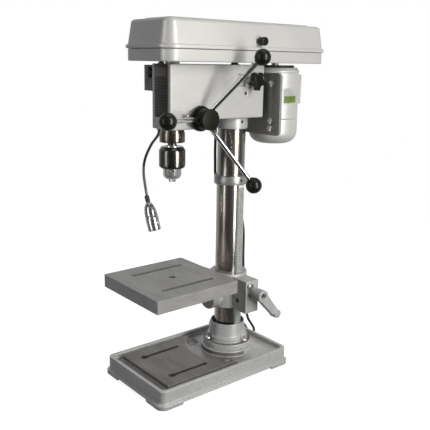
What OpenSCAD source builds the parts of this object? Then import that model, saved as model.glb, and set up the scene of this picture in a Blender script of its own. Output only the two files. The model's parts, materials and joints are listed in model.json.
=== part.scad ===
// Benchtop drill press: cast base, round column, rack-lifted tilting table, rack-fed quill with a
// three-jaw key chuck, covered step-pulley belt drive, sliding motor, work lamp and mains cord.
// Millimetres. Origin midway between the two bench bolts at bench level, +X to the feed levers,
// +Y to the motor, +Z up.

/* [Base] */
// Width of the base over its bottom lip
base_w = 220; // [206:1:250]
// Length of the base over its bottom lip
base_l = 356; // [345:1:390]
// Distance from the bench bolts to the front edge of the base
base_front = 210; // [205:1:225]
// Height of the base's rim
base_h = 39; // [38:0.5:44]
// Height of the deck inside the rim
deck_z = 28; // [26:0.5:32]
// Thickness of the base casting
base_wall = 7; // [5:0.5:9]
// Corner radius of the base's bottom lip
base_corner = 18; // [14:1:24]
// How far the bottom lip stands out
base_lip = 5.5; // [3:0.5:7]
// Height of the bottom lip
lip_h = 10; // [8:0.5:13]
// Length of each corner foot along the edges
foot_l = 55; // [40:1:65]
// Air under the base between the feet
foot_lift = 5; // [3:0.5:6]
// Width of the raised rim
rim_w = 8; // [6:0.5:10]
// Width of the ground platform
platform_w = 172; // [160:1:176]
// Height of the ground platform's top
platform_h = 37; // [34:0.5:38]
// Radius of the round cut in the platform around the column
platform_cut_r = 95; // [90:1:100]
// Spacing of the two bench bolt holes
bench_bolt_spacing = 132; // [120:1:140]
// Diameter of the bench bolt holes
bench_bolt_d = 11; // [9:0.5:13]
// Spacing of the base's two slots
base_slot_spacing = 104; // [90:1:120]
// Length of each base slot
base_slot_l = 100; // [80:1:110]
// Width of the base and table slots
slot_w = 9; // [7:0.5:11]

/* [Column] */
// Distance from the bench bolts back to the column
column_y = 50; // [46:0.5:54]
// Diameter of the column
column_d = 60; // [58:0.5:61]
// Wall of the column tube
column_wall = 4; // [3:0.5:6]
// Distance from the head's top down to the column's top
column_drop = 46; // [44:0.5:52]
// Diameter of the column flange
flange_d = 110; // [108:0.5:116]
// Thickness of the column flange
flange_t = 14; // [11:0.5:17]
// Height of the flange's neck top
neck_top = 96; // [88:0.5:100]
// Diameter of the neck at its top
neck_d = 76; // [75:0.5:80]
// Bolt circle of the flange
flange_bolt_circle = 94; // [93:0.5:96]
// Width of the table rack
rack_w = 15; // [12:0.5:18]
// Tooth size of the table rack and its pinion
lift_module = 1.5; // [1.25:0.25:1.75]
// Height of the rack ring's underside
ring_z = 413; // [400:0.5:425]
// Height of the rack ring
ring_h = 18; // [14:0.5:24]

/* [Table] */
// Width of the table
table_w = 200; // [180:1:220]
// Length of the table
table_l = 202; // [190:1:206]
// Thickness of the table's edge
table_t = 27; // [22:0.5:30]
// Height of the table's working face
table_top = 228; // [226:0.5:232]
// Spacing of the table's two slots
table_slot_spacing = 112; // [90:1:130]
// Length of each table slot
table_slot_l = 130; // [100:1:150]
// Diameter of the hole under the drill
table_hole_d = 14; // [10:0.5:20]
// Height of the tilt axis
tilt_z = 160; // [158:0.5:164]
// Radius of the tilt knuckle
knuckle_r = 25; // [22:0.5:27]
// Diameter of the bracket's collar
collar_d = 83; // [80:0.5:85]
// Height of the collar's underside
collar_z = 137; // [134:0.5:140]
// Height of the collar's top
collar_top = 214; // [208:0.5:218]
// Distance from the column to the gear block's right face
block_reach = 80; // [76:0.5:84]
// Width of the gear block
block_w = 36; // [34:0.5:40]
// Height of the crank's axis
crank_z = 184; // [183.5:0.5:186]
// Length of the crank arm between its two bosses
crank_l = 65; // [50:1:80]
// Diameter of the crank's hub
crank_hub_d = 27; // [24:0.5:28]
// Diameter of the crank's end boss
crank_end_d = 19; // [16:0.5:22]

/* [Head] */
// Distance from the column to the spindle
throat = 156; // [154:0.5:158]
// Distance from the spindle to the head's front face
head_nose = 27; // [26:0.5:30]
// Width of the head at its front
head_front_w = 62; // [60:0.5:66]
// Width of the head at its rear
head_rear_w = 92; // [90:0.5:98]
// Distance from the column to the head's rear
head_tail = 47; // [46:0.5:49]
// Height of the head's top
head_top = 664; // [650:0.5:680]
// Height of the head casting at the column
head_h = 108; // [106:0.5:112]
// Depth of the quill housing below the head's underside
nose_drop = 18; // [16:0.5:22]
// Diameter of the column clamp under the head
clamp_d = 68; // [67:0.5:70]

/* [Feed] */
// Diameter of the quill
quill_d = 48; // [47.5:0.5:48.5]
// Diameter of the quill's lower end
quill_end_d = 51; // [50:0.5:54]
// Length of the quill below its housing at rest
quill_out = 26; // [24:0.5:28]
// Tooth size of the quill rack and the feed pinion
feed_module = 2; // [1.75:0.25:2]
// Teeth on the feed pinion
feed_teeth = 15; // [14:1:15]
// Height of the feed shaft above the head's underside
feed_rise = 4; // [3:0.5:6]
// Diameter of the feed hub
hub_d = 41; // [38:0.5:46]
// Distance from the centre plane to the feed hub's end
hub_reach = 77; // [74:0.5:84]
// Diameter of the feed lever rods
lever_d = 9; // [7:0.5:10]
// Length of each feed lever from the shaft to its ball
lever_l = 163; // [140:1:170]
// Tilt of the feed levers away from the head
lever_tilt = 29.5; // [27:0.5:32]
// Diameter of the lever balls
ball_d = 32; // [26:0.5:36]

/* [Chuck] */
// Diameter of the chuck's sleeve
sleeve_d = 53; // [50:0.5:56]
// Height of the chuck's sleeve
sleeve_h = 43; // [40:0.5:46]
// Diameter of the chuck's nose
chuck_nose_d = 37; // [36:0.5:40]
// Length of the chuck's nose below the sleeve
chuck_nose_l = 23; // [20:0.5:25]
// Diameter of the chuck jaws
jaw_d = 7; // [6:0.5:7]

/* [Drive] */
// Width of the belt cover
cover_w = 150; // [148:1:160]
// Distance from the spindle to the cover's front
cover_front = 66; // [64:1:74]
// Distance from the motor shaft to the cover's rear
cover_rear = 84; // [78:1:92]
// Height of the belt tray
tray_h = 24; // [21:0.5:27]
// Height of the belt lid
lid_h = 54; // [52:0.5:58]
// Corner radius of the belt cover
cover_corner = 27; // [22:0.5:30]
// How far the lid's sides lean in
lid_draft = 7; // [5:0.5:9]
// Sheet thickness of the cover
sheet_t = 1.6; // [1.2:0.1:2]
// Groove diameter of the largest step of each pulley
pulley_d = 102; // [100:1:104]
// Difference in diameter between steps
pulley_step = 15; // [14:0.5:16]
// Height of each pulley step
step_h = 14; // [13:0.5:14]
// Distance from the column to the motor shaft
motor_offset = 122; // [120:0.5:124]
// Diameter of the motor
motor_d = 108; // [106:0.5:110]
// Height of the motor
motor_h = 165; // [159:0.5:171]
// Distance from the head's top down to the motor's top
motor_gap = 5; // [3:0.5:9]
// Width of the motor plate
motor_plate_w = 164; // [150:1:170]
// Thickness of the motor plate
motor_plate_t = 6; // [5:0.5:7]
// Diameter of the motor's slide rods
slide_rod_d = 13; // [12:0.5:14]

/* [Switch and lamp] */
// Width of the switch box beside the head
switch_w = 41; // [38:0.5:46]
// Depth of the switch box
switch_l = 45; // [40:0.5:50]
// Height of the switch box
switch_h = 51; // [46:0.5:54]
// Diameter of the switch button
button_d = 21; // [18:0.5:24]
// Diameter of the lamp's flexible neck
lamp_neck_d = 6; // [5:0.5:7]
// Mouth diameter of the lamp shade
shade_d = 28; // [26:0.5:32]
// Length of the lamp shade
shade_l = 62; // [56:0.5:66]

/* [Mains cord] */
// Diameter of the mains cord
cord_d = 6; // [5.5:0.1:6.2]
// Diameter across the coil at its middle turn
coil_d = 66; // [66:0.5:70]

/* [Hidden] */
$fn = 64;
shaft_fit = 0.05;
run_gap = 0.3;
press_gap = 0.02;
eps = 0.01;
over = 1;

spindle_y = column_y - throat;
base_rear = base_l - base_front;
base_mid_y = (base_rear - base_front) / 2;
column_r = column_d / 2;

seat_d = flange_d + 8;
seat_z = base_h + 1;
flange_top = seat_z + flange_t;
bolt_boss_d = bench_bolt_d + 11;
bolt_boss_h = deck_z + 4;
flange_bolt_d = 8;
flange_bolt_turn = 15;
flange_bolts_n = 3;
spot_face = 0.5;

rack_back = column_r + run_gap;
rack_root = rack_back + 4.2;
rack_pitch_x = rack_root + lift_module * 1.2;
rack_tip = rack_pitch_x + lift_module * 0.8;
lift_pitch = PI * lift_module;
lift_teeth = 22;
lift_pinion_r = lift_module * lift_teeth / 2;
lift_gear_x = rack_pitch_x + lift_pinion_r;
lift_gear_z = tilt_z;
bevel_depth = 8;
lift_tip_r = lift_pinion_r + lift_module * 0.8;
worm_r = crank_z - lift_gear_z - lift_tip_r - run_gap;
crank_shaft_r = 5;
block_round = 12;
crank_angle = 49;
crank_plane = block_reach + 20;
crank_back = 5;
crank_seat = 17;
lock_x = column_r + 12;
lock_y = column_y - block_w / 2 + 10;
lock_z = collar_top - 15;
lock_d = 8;

knuckle_reach = 62;
knuckle_lap = 3;
knuckle_t = 16;
knuckle_front = column_y - knuckle_reach;
table_mid_y = knuckle_front + knuckle_lap - table_l / 2;
tilt_bolt_r = 6;

head_z = head_top - head_h;
nose_z = head_z - nose_drop;
quill_z = nose_z - quill_out;
quill_top = head_top - 19;
feed_z = head_z + feed_rise;
column_top = head_top - column_drop;
motor_top = head_top - motor_gap;
motor_z = motor_top - motor_h;

head_front_y = spindle_y - head_nose;
head_rear_y = column_y + head_tail;
nose_rear_y = spindle_y + 60;
grub_d = 6;
clamp_screw_z = head_z - 9;
head_screw_z = column_top - 12;
quill_r = quill_d / 2;
feed_pitch_r = feed_module * feed_teeth / 2;
feed_pitch = PI * feed_module;
feed_y = spindle_y + quill_r - feed_module + feed_pitch_r;
feed_tip_r = feed_pitch_r + feed_module * 0.9;
feed_left_r = feed_tip_r - 2;
feed_neck_r = feed_pitch_r - feed_module - run_gap;
feed_boss_x = 39;
hub_socket = 7;
cap_h = 24;
cap_r = 29;
dial_t = 8;
dial_d = hub_d + 9;
dial_lock_turn = -100;
dial_lock_d = 5;
hub_x = feed_boss_x + dial_t + 2 * run_gap;
lever_phase = 3;
lever_cross_x = hub_reach - 24;
lever_root = 14;

quill_travel = 78;
spindle_r = 9;
chuck_top = quill_z - 7;
sleeve_top = chuck_top - 2;
sleeve_z = sleeve_top - sleeve_h;
chuck_z = sleeve_z - chuck_nose_l;
jaw_lean = 14;
jaw_l = 40;
jaw_travel = 22;
jaw_bore_r = jaw_d / 2 + shaft_fit;
jaw_out = 5;
jaw_tip_z = chuck_z - jaw_out;
spindle_grip = 14;
bearing_d = 34;
bearing_h = 12;
quill_end_h = 19;
feed_run_out = 12;

tray_z = head_top + 4;
seam_z = tray_z + tray_h;
lid_top = seam_z + lid_h;
panel_h = 3;
panel_inset = lid_draft + 22;
panel_corner = 10;
motor_y = column_y + motor_offset;
cover_front_y = spindle_y - cover_front;
cover_rear_y = motor_y + cover_rear;
cover_l = cover_rear_y - cover_front_y;
cover_mid_y = (cover_front_y + cover_rear_y) / 2;
lid_lip = 4;
lid_lip_h = 4;
hinge_r = 4;
hinge_pin_r = 2;
hinge_l = 44;
hinge_x = -(cover_w / 2 + lid_lip + hinge_r + run_gap);
hinge_z = seam_z;
hinge_reach = 110;

pulley_z = tray_z + 8;
steps_n = 4;
pulley_h = steps_n * step_h;
belt_step = 1;
belt_z = pulley_z + (belt_step + 0.5) * step_h;
belt_t = 8;
belt_w = 10;
spindle_groove_r = (pulley_d - belt_step * pulley_step) / 2;
motor_groove_r = (pulley_d - (steps_n - 1 - belt_step) * pulley_step) / 2;
drive_sleeve_r = 14;

motor_r = motor_d / 2;
bell_h = 55;
bell_wall = 22;
bell_floor = 12;
bell_band = 11;
motor_seam_low = motor_z + bell_h;
motor_seam_high = motor_top - bell_band;
motor_plate_y = motor_y - motor_r - 2 - motor_plate_t;
motor_plate_rise = 24;
motor_plate_z = motor_z + motor_plate_rise;
motor_plate_h = motor_seam_high - motor_plate_z;
motor_shaft_r = 8;
motor_bolt_d = 8;
motor_bolt_edge = 24;
motor_bolt_x = motor_plate_w / 2 - motor_bolt_edge;
motor_bolt_levels = [motor_seam_low - 16, motor_seam_low, motor_seam_high - 22];
motor_travel = 12;
capacitor_w = 47;
capacitor_t = 14;
capacitor_h = 64;
capacitor_x = -25;
capacitor_rise = 31;
capacitor_sink = 4;
slide_rod_z = head_top - 32;
slide_rod_x = 28;
slide_rod_tail = motor_plate_y - 68;
knob_y = column_y + 12;

switch_x = -switch_w - 34;
switch_y = spindle_y - 16;
switch_z = head_top - 3 - switch_h;
switch_wall = 2.5;
button_x = switch_x + 20;
button_z = switch_z + 36;
toggle_z = switch_z + 12;
toggle_y = switch_y + 20;
toggle_ball_d = 7;
toggle_boss_l = 8;
toggle_rod_d = 3.6;
toggle_l = 17;

lamp_root = [-27, spindle_y - 13, nose_z];
lamp_pivot = [-105, -106, nose_z - 98];
lamp_tip = [-90, -106, nose_z - 162];
lamp_upper_route = [[-27, -119, nose_z - 4], [-29, -119, nose_z - 12], [-40, -117, nose_z - 21],
    [-66, -111, nose_z - 37], [-92, -107, nose_z - 63], [-103, -106, nose_z - 83], lamp_pivot + [0, 0, 1]];
lamp_lower_route = [lamp_pivot, [-104, -106, nose_z - 113], [-98, -106, nose_z - 136], lamp_tip];
lamp_lean = 24;
lamp_root_l = 14;
shade_start = 4;
shade_crown = 12;
shade_curve = [[0.36, 0], [0.66, 5], [0.84, shade_crown], [0.97, shade_l * 0.36], [1.03, shade_l * 0.5],
    [1, shade_l]];

gland_spot = [-42, 40, head_z];
gland_l = 26;
cord_route = [[-42, 40, head_z - gland_l], [-42, 40, head_z - 51], [-43, 41, head_z - 96],
    [-43, 46, head_z - 146], [-36, 72, head_z - 186], [-18, 94, head_z - 216], [-8, 99, head_z - 256],
    [-7, 100, 240], [-8, 104, 180], [-10, 112, 120], [-14, 126, 76],
    [-20, 143, 54], [-28, 160, 34], [-42, 174, 14], [-62, 182, 4.2], [-86, 192, 3.2], [-108, 204, 3.2],
    [-128, 210, 3.2], [-134, 210, 3.2], [-140, 210, 3.2]];
cord_floor = 3.2;
coil_turns = 2.25;
coil_step = cord_d + 1.6;
coil_outer = coil_d / 2 + coil_step * coil_turns / 2;
coil_centre = [-146, 210 - coil_outer, cord_floor];
coil_tail = 4 * cord_d;
coil_layer = cord_d + 0.9;
coil_rings = 24;
cord_steps = 4;
plug_l = 32;
plug_d = 2 * (cord_floor + coil_layer);
relief_l = 26;
prong_l = 19;
prong_d = 4.8;
prong_spacing = 12;

iron = [0.66, 0.67, 0.68];
ground = [0.55, 0.53, 0.51];
steel = [0.75, 0.75, 0.74];
dark = [0.12, 0.12, 0.12];
plate_grey = [0.3, 0.3, 0.31];

// Shared shapes

module along_x() {
    rotate([0, 90, 0]) children();
}

module along_y() {
    rotate([-90, 0, 0]) children();
}

module rounded_outline(w, l, r) {
    square([w - 2 * r, l], center = true);
    square([w, l - 2 * r], center = true);
    for (sx = [-1, 1], sy = [-1, 1])
        translate([sx * (w / 2 - r), sy * (l / 2 - r)]) circle(r);
}

module rounded_box(w, l, h, r) {
    linear_extrude(h) rounded_outline(w, l, r);
}

module slot(l, d, h) {
    translate([-d / 2, -l / 2 + d / 2, 0]) cube([d, l - d, h]);
    for (s = [-1, 1]) translate([0, s * (l - d) / 2, 0]) cylinder(h = h, d = d);
}

module tube(d, bore, h) {
    difference() {
        cylinder(h = h, d = d);
        translate([0, 0, -over]) cylinder(h = h + 2 * over, d = bore);
    }
}

module hex_bolt(d, l, head_h) {
    translate([0, 0, -l]) cylinder(h = l, d = d);
    cylinder(h = head_h, d = d * 1.85, $fn = 6);
}

// A gear outline; share is the part of the pitch that a tooth takes
module gear_outline(teeth, size, share) {
    pitch_r = teeth * size / 2;
    half = share * 180 / teeth;
    polygon([for (i = [0:teeth - 1], corner = [[-1.5, -1.2], [-0.55, 0.8], [0.55, 0.8], [1.5, -1.2]])
        let (a = i * 360 / teeth + corner[0] * half, r = pitch_r + corner[1] * size)
            [r * cos(a), r * sin(a)]]);
}

// Tubes swept along a route

function spline_at(p, i, t) =
    let (a = p[max(i - 1, 0)], b = p[i], c = p[i + 1], d = p[min(i + 2, len(p) - 1)])
        0.5 * (2 * b + (c - a) * t + (2 * a - 5 * b + 4 * c - d) * t * t
            + (3 * b - a - 3 * c + d) * t * t * t);

function smooth_route(p, steps) = concat(
    [for (i = [0:len(p) - 2], k = [0:steps - 1]) spline_at(p, i, k / steps)], [p[len(p) - 1]]);

function unit(v) = v / norm(v);

function heading(p, i) = unit(p[min(i + 1, len(p) - 1)] - p[max(i - 1, 0)]);

// Carries a side direction along the route without twisting it
function sides_along(p, side, i = 0, found = []) =
    i == len(p) ? found
        : let (t = heading(p, i), s = unit(side - t * (side * t)))
            sides_along(p, s, i + 1, concat(found, [s]));

module swept_tube(p, d, sides, first_side) {
    across = sides_along(p, first_side);
    n = len(p);
    points = [for (i = [0:n - 1], k = [0:sides - 1])
        let (a = 360 * k / sides, t = heading(p, i), s = across[i])
            p[i] + d / 2 * (cos(a) * s + sin(a) * cross(t, s))];
    walls = [for (i = [0:n - 2], k = [0:sides - 1])
        let (a = i * sides + k, b = i * sides + (k + 1) % sides)
            each [[a, b + sides, b], [a, a + sides, b + sides]]];
    ends = [for (k = [1:sides - 2])
        each [[0, k, k + 1], [(n - 1) * sides, (n - 1) * sides + k + 1, (n - 1) * sides + k]]];
    polyhedron(points, concat(walls, ends));
}

// Base and column

module base_feet_gaps() {
    for (s = [-1, 1]) {
        translate([s * base_w / 2, base_mid_y, foot_lift / 2 - eps])
            cube([4 * base_wall, base_l - 2 * foot_l, foot_lift + 2 * eps], center = true);
        translate([0, base_mid_y + s * base_l / 2, foot_lift / 2 - eps])
            cube([base_w - 2 * foot_l, 4 * base_wall, foot_lift + 2 * eps], center = true);
    }
}

module platform_outline() {
    platform_front = -base_front + base_lip + rim_w + 20;
    difference() {
        translate([-platform_w / 2, platform_front]) square([platform_w, column_y - platform_front]);
        translate([0, column_y]) circle(platform_cut_r);
    }
}

module base() {
    wall_w = base_w - 2 * base_lip;
    wall_l = base_l - 2 * base_lip;
    slot_y = spindle_y + 5;
    inner_corner = base_corner - base_lip - rim_w + 4;
    color(iron) difference() {
        union() {
            translate([0, base_mid_y, 0]) difference() {
                union() {
                    rounded_box(base_w, base_l, lip_h, base_corner);
                    rounded_box(wall_w, wall_l, base_h, base_corner - base_lip);
                }
                translate([0, 0, deck_z])
                    rounded_box(wall_w - 2 * rim_w, wall_l - 2 * rim_w, base_h, inner_corner);
                translate([0, 0, -over])
                    rounded_box(wall_w - 2 * base_wall, wall_l - 2 * base_wall, deck_z - base_wall + over, 6);
            }
            translate([0, 0, deck_z - eps]) linear_extrude(platform_h - deck_z + eps) platform_outline();
            translate([0, column_y, deck_z - eps]) cylinder(h = seat_z - deck_z + eps, d = seat_d);
            for (s = [-1, 1]) translate([s * bench_bolt_spacing / 2, 0, 0])
                cylinder(h = bolt_boss_h, d = bolt_boss_d);
        }
        base_feet_gaps();
        for (s = [-1, 1]) {
            translate([s * bench_bolt_spacing / 2, 0, -over])
                cylinder(h = base_h + 2 * over, d = bench_bolt_d);
            translate([s * base_slot_spacing / 2, slot_y, deck_z - base_wall - over]) {
                slot(base_slot_l, slot_w, base_h);
                translate([0, -base_slot_l / 2 + slot_w, 0]) cylinder(h = base_h, d = slot_w + 6);
            }
        }
        translate([0, column_y, deck_z - base_wall - over]) {
            flange_bolt_places() cylinder(h = base_h, d = flange_bolt_d + 2 * shaft_fit);
        }
    }
}

module flange_bolt_places() {
    for (i = [0:flange_bolts_n - 1]) rotate(flange_bolt_turn + i * 360 / flange_bolts_n)
        translate([flange_bolt_circle / 2, 0, 0]) children();
}

module column_flange() {
    socket_r = column_r + press_gap;
    foot_r = neck_d / 2 + 3;
    color(iron) translate([0, column_y, 0]) difference() {
        rotate_extrude() polygon([[0, seat_z], [flange_d / 2, seat_z], [flange_d / 2, flange_top],
            [foot_r + 4, flange_top], [foot_r + 4, flange_top + 10], [foot_r, flange_top + 12],
            [neck_d / 2, neck_top], [0, neck_top]]);
        translate([0, 0, seat_z + 4]) cylinder(h = neck_top, r = socket_r);
        translate([0, 0, neck_top - bevel_depth])
            cylinder(h = bevel_depth + eps, r1 = column_r + 1.5, r2 = neck_d / 2 - 1);
        flange_bolt_places() {
            translate([0, 0, seat_z - over])
                cylinder(h = flange_t + 2 * over, d = flange_bolt_d + 2 * shaft_fit);
            translate([0, 0, flange_top - spot_face]) cylinder(h = 30, d = flange_bolt_d * 2 + 3);
        }
    }
}

module flange_bolts() {
    color(steel) translate([0, column_y, flange_top - spot_face]) flange_bolt_places()
        hex_bolt(flange_bolt_d, flange_t + 14, 6);
}

module column() {
    color(steel) translate([0, column_y, seat_z + 4])
        tube(column_d, column_d - 2 * column_wall, column_top - seat_z - 4);
}

// The tooth spaces sit so that one of them faces the lift pinion at rest
module rack_teeth_profile(z_low, z_high) {
    first = floor((lift_gear_z - z_low - 4) / lift_pitch);
    last = floor((z_high - 4 - lift_gear_z) / lift_pitch);
    spaces = [for (i = [-first:last], corner = [[-0.38, 0], [-0.16, 1], [0.16, 1], [0.38, 0]])
        [rack_tip - corner[1] * (rack_tip - rack_root), lift_gear_z + (i + corner[0]) * lift_pitch]];
    polygon(concat([[column_r - 8, z_low], [rack_tip, z_low]], spaces,
        [[rack_tip, z_high], [column_r - 8, z_high]]));
}

module table_rack() {
    low = neck_top - bevel_depth + 3;
    color([0.72, 0.74, 0.7]) translate([0, column_y, 0]) difference() {
        rotate([90, 0, 0]) translate([0, 0, -rack_w / 2])
            linear_extrude(rack_w) rack_teeth_profile(low, ring_z - run_gap);
        translate([0, 0, low - over]) cylinder(h = ring_z, r = rack_back);
        rotate_extrude() polygon([[neck_d / 2 - 1 - run_gap, neck_top + run_gap],
            [rack_tip + 20, neck_top + run_gap], [rack_tip + 20, low - over], [column_r + 1, low - over],
            [column_r + 1.5 - run_gap, neck_top - bevel_depth + run_gap]]);
    }
}

module rack_ring() {
    color(iron) translate([0, column_y, ring_z]) difference() {
        tube(column_d + 12, column_d + 2 * press_gap, ring_h);
        translate([column_r, 0, ring_h / 2]) along_x()
            cylinder(h = 20, d = grub_d + 2 * press_gap, center = true);
    }
}

// Grub screws that clamp the head and the rack ring to the column
module set_screws() {
    color(dark) translate([0, column_y, 0]) {
        translate([column_r + press_gap, 0, clamp_screw_z]) grub_screw(clamp_d / 2 - column_r - 0.5);
        translate([column_r + press_gap, 0, head_screw_z]) grub_screw(7);
        translate([column_r + press_gap, 0, ring_z + ring_h / 2]) grub_screw(5);
    }
}

module grub_screw(l) {
    along_x() difference() {
        cylinder(h = l, d = grub_d);
        translate([0, 0, l - 2]) cylinder(h = 2 + over, d = grub_d / 2, $fn = 6);
    }
}

// Head

function head_half(y) = head_front_w / 2 + (head_rear_w - head_front_w) / 2
    * (y - head_front_y) / (head_rear_y - head_front_y);

module head_outline(grow = 0) {
    front = head_half(head_front_y) + grow;
    rear = head_half(head_rear_y) + grow;
    polygon([[-front, head_front_y], [front, head_front_y], [rear, head_rear_y], [-rear, head_rear_y]]);
}

module head_body() {
    translate([0, 0, head_z]) linear_extrude(head_top - head_z) head_outline();
    translate([0, 0, nose_z]) linear_extrude(head_top - nose_z) intersection() {
        head_outline();
        translate([-head_rear_w, head_front_y]) square([2 * head_rear_w, nose_rear_y - head_front_y]);
    }
    translate([0, column_y, head_z - 24]) cylinder(h = 30, d = clamp_d);
    translate([-feed_boss_x, feed_y, feed_z]) along_x() cylinder(h = 2 * feed_boss_x, r = feed_tip_r + 6);
    translate([0, knob_y, slide_rod_z]) along_x() cylinder(h = head_half(knob_y) + 9, d = 22);
    translate([gland_spot[0], gland_spot[1], head_z]) cylinder(h = 20, d = 18);
    for (s = [-1, 1], y = [head_front_y + 18, head_rear_y - 14])
        translate([s * (head_half(y) - 12), y, head_top - over])
            cylinder(h = tray_z - head_top + over, d = 16);
}

module head_casting() {
    cavity_front = spindle_y + quill_r + 8;
    cavity_rear = column_y - column_r - 8;
    color(iron) difference() {
        head_body();
        translate([0, spindle_y, nose_z - over]) cylinder(h = head_top, r = quill_r + shaft_fit);
        translate([0, 0, feed_z + feed_tip_r + 4]) linear_extrude(head_top) intersection() {
            head_outline(-7);
            translate([-head_rear_w, cavity_front]) square([2 * head_rear_w, cavity_rear - cavity_front]);
        }
        translate([0, column_y, head_z - 30])
            cylinder(h = column_top - head_z + 30, r = column_r + press_gap);
        translate([-9, feed_y, feed_z]) along_x() cylinder(h = 70, r = feed_tip_r + shaft_fit);
        translate([-60, feed_y, feed_z]) along_x() cylinder(h = 60, r = feed_left_r + shaft_fit);
        for (s = [-1, 1]) translate([s * slide_rod_x, slide_rod_tail - motor_travel - 3, slide_rod_z])
            along_y() cylinder(h = 200, d = slide_rod_d + 2 * shaft_fit);
        for (z = [clamp_screw_z, head_screw_z])
            translate([0, column_y, z]) along_x() cylinder(h = 90, d = grub_d + 2 * press_gap);
        translate([slide_rod_x, knob_y, slide_rod_z]) along_x() cylinder(h = 60, d = 8 + 2 * shaft_fit);
        translate([head_half(knob_y) - 7, knob_y - 33, slide_rod_z - 11]) cube([20, 20, 24]);
        translate([lamp_root[0], lamp_root[1], nose_z - over])
            cylinder(h = 11, d = lamp_neck_d + 2 * press_gap);
        translate([gland_spot[0], gland_spot[1], head_z - over]) cylinder(h = 13, d = 10 + 2 * press_gap);
    }
}

module front_plate() {
    color(dark) translate([1, head_front_y - 1, (feed_z + head_top) / 2])
        rotate([90, 0, 0]) translate([0, 0, -1])
            linear_extrude(1) rounded_outline(44, head_top - feed_z - 2, 4);
}

// Case for the spiral spring that lifts the quill
module spring_cap() {
    color(iron) translate([-feed_boss_x, feed_y, feed_z]) rotate([0, -90, 0]) difference() {
        cylinder(h = cap_h, r = cap_r);
        translate([0, 0, -over]) cylinder(h = cap_h - 2 + over, r = cap_r - 3);
    }
}

module return_spring() {
    turns = 4;
    inner_r = feed_left_r + run_gap;
    seat_r = cap_r - 3 - shaft_fit;
    pitch = (seat_r - inner_r - 1.5) / turns;
    ribbon = 0.8;
    step = 15;
    path = [for (a = [0:step:turns * 360]) let (r = inner_r + pitch * a / 360) [r, a]];
    color(steel) translate([-feed_boss_x, feed_y, feed_z]) rotate([0, -90, 0]) translate([0, 0, 4]) {
        linear_extrude(14) polygon(concat([for (p = path) p[0] * [cos(p[1]), sin(p[1])]],
            [for (i = [len(path) - 1:-1:0]) (path[i][0] + ribbon) * [cos(path[i][1]), sin(path[i][1])]]));
        translate([inner_r + pitch * turns, 0, 0]) cube([seat_r - inner_r - pitch * turns, 2, 14]);
    }
}

// Belt cover

module cover_outline(grow) {
    translate([0, cover_mid_y]) rounded_outline(cover_w + 2 * grow, cover_l + 2 * grow, cover_corner + grow);
}

module belt_tray() {
    color(iron) difference() {
        translate([0, 0, tray_z]) linear_extrude(tray_h) cover_outline(0);
        translate([0, 0, tray_z + sheet_t]) linear_extrude(tray_h) cover_outline(-sheet_t);
        translate([0, spindle_y, tray_z - over]) cylinder(h = 10, r = quill_r + 6);
        translate([0, motor_y - motor_travel / 2, tray_z - over]) slot(36 + motor_travel, 36, 10);
    }
}

module lid_block(side_grow, top_drop, corner) {
    ring_r = 12;
    hull() {
        translate([0, 0, seam_z]) linear_extrude(2) cover_outline(side_grow);
        for (sx = [-1, 1], y = [cover_front_y, cover_rear_y]) {
            inset = lid_draft - side_grow + corner;
            inward = y == cover_front_y ? 1 : -1;
            ring_x = sx * (cover_w / 2 - inset - ring_r);
            translate([ring_x, y + inward * (inset + ring_r), lid_top - top_drop - corner])
                rotate_extrude($fn = 32) translate([ring_r, 0]) circle(corner, $fn = 24);
        }
    }
}

module belt_lid() {
    color(iron) {
        difference() {
            union() {
                lid_block(0, 0, 8);
                translate([0, cover_mid_y, lid_top - eps]) linear_extrude(panel_h + eps)
                    rounded_outline(cover_w - 2 * panel_inset, cover_l - 2 * panel_inset, panel_corner);
                translate([0, 0, seam_z]) linear_extrude(lid_lip_h) cover_outline(lid_lip);
            }
            translate([0, 0, -eps]) lid_block(-sheet_t, sheet_t, 7);
            translate([cover_w / 2 - 20, knob_y - 7, seam_z + 18]) along_x()
                cylinder(h = 40, d = 6 + 2 * press_gap);
        }
        for (s = [-1, 1]) translate([0, cover_mid_y + s * hinge_reach, 0]) lid_knuckle();
    }
}

module lid_knuckle() {
    l = hinge_l / 3;
    difference() {
        union() {
            translate([hinge_x, -l / 2, hinge_z]) along_y() cylinder(h = l, r = hinge_r);
            translate([hinge_x, -l / 2, hinge_z + 1]) cube([hinge_r + 3, l, hinge_r - 1]);
        }
        translate([hinge_x, -l, hinge_z]) along_y() cylinder(h = 2 * l, r = hinge_pin_r + shaft_fit);
        translate([-cover_w / 2 - lid_lip, -l, hinge_z - 10]) cube([20, 2 * l, 20]);
    }
}

// Fixed hinge halves on the tray's left side, each with its pin
module lid_hinges() {
    third = hinge_l / 3;
    color(steel) for (s = [-1, 1]) translate([hinge_x, cover_mid_y + s * hinge_reach, hinge_z]) {
        translate([0, -hinge_l / 2, 0]) along_y() cylinder(h = hinge_l, r = hinge_pin_r);
        for (y = [-hinge_l / 2, third / 2 + run_gap]) translate([0, y, 0]) {
            along_y() cylinder(h = third - run_gap, r = hinge_r);
            translate([-hinge_r, 0, -14]) cube([2, third - run_gap, 14]);
            translate([-hinge_r, 0, -14]) cube([-cover_w / 2 - hinge_x + hinge_r, third - run_gap, 3]);
        }
    }
}

module lid_knob() {
    color(dark) translate([cover_w / 2 - 6, knob_y - 7, seam_z + 18]) along_x() {
        cylinder(h = 8, d = 6);
        translate([0, 0, 7]) cylinder(h = 15, d = 17);
    }
}

// Belt drive

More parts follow.
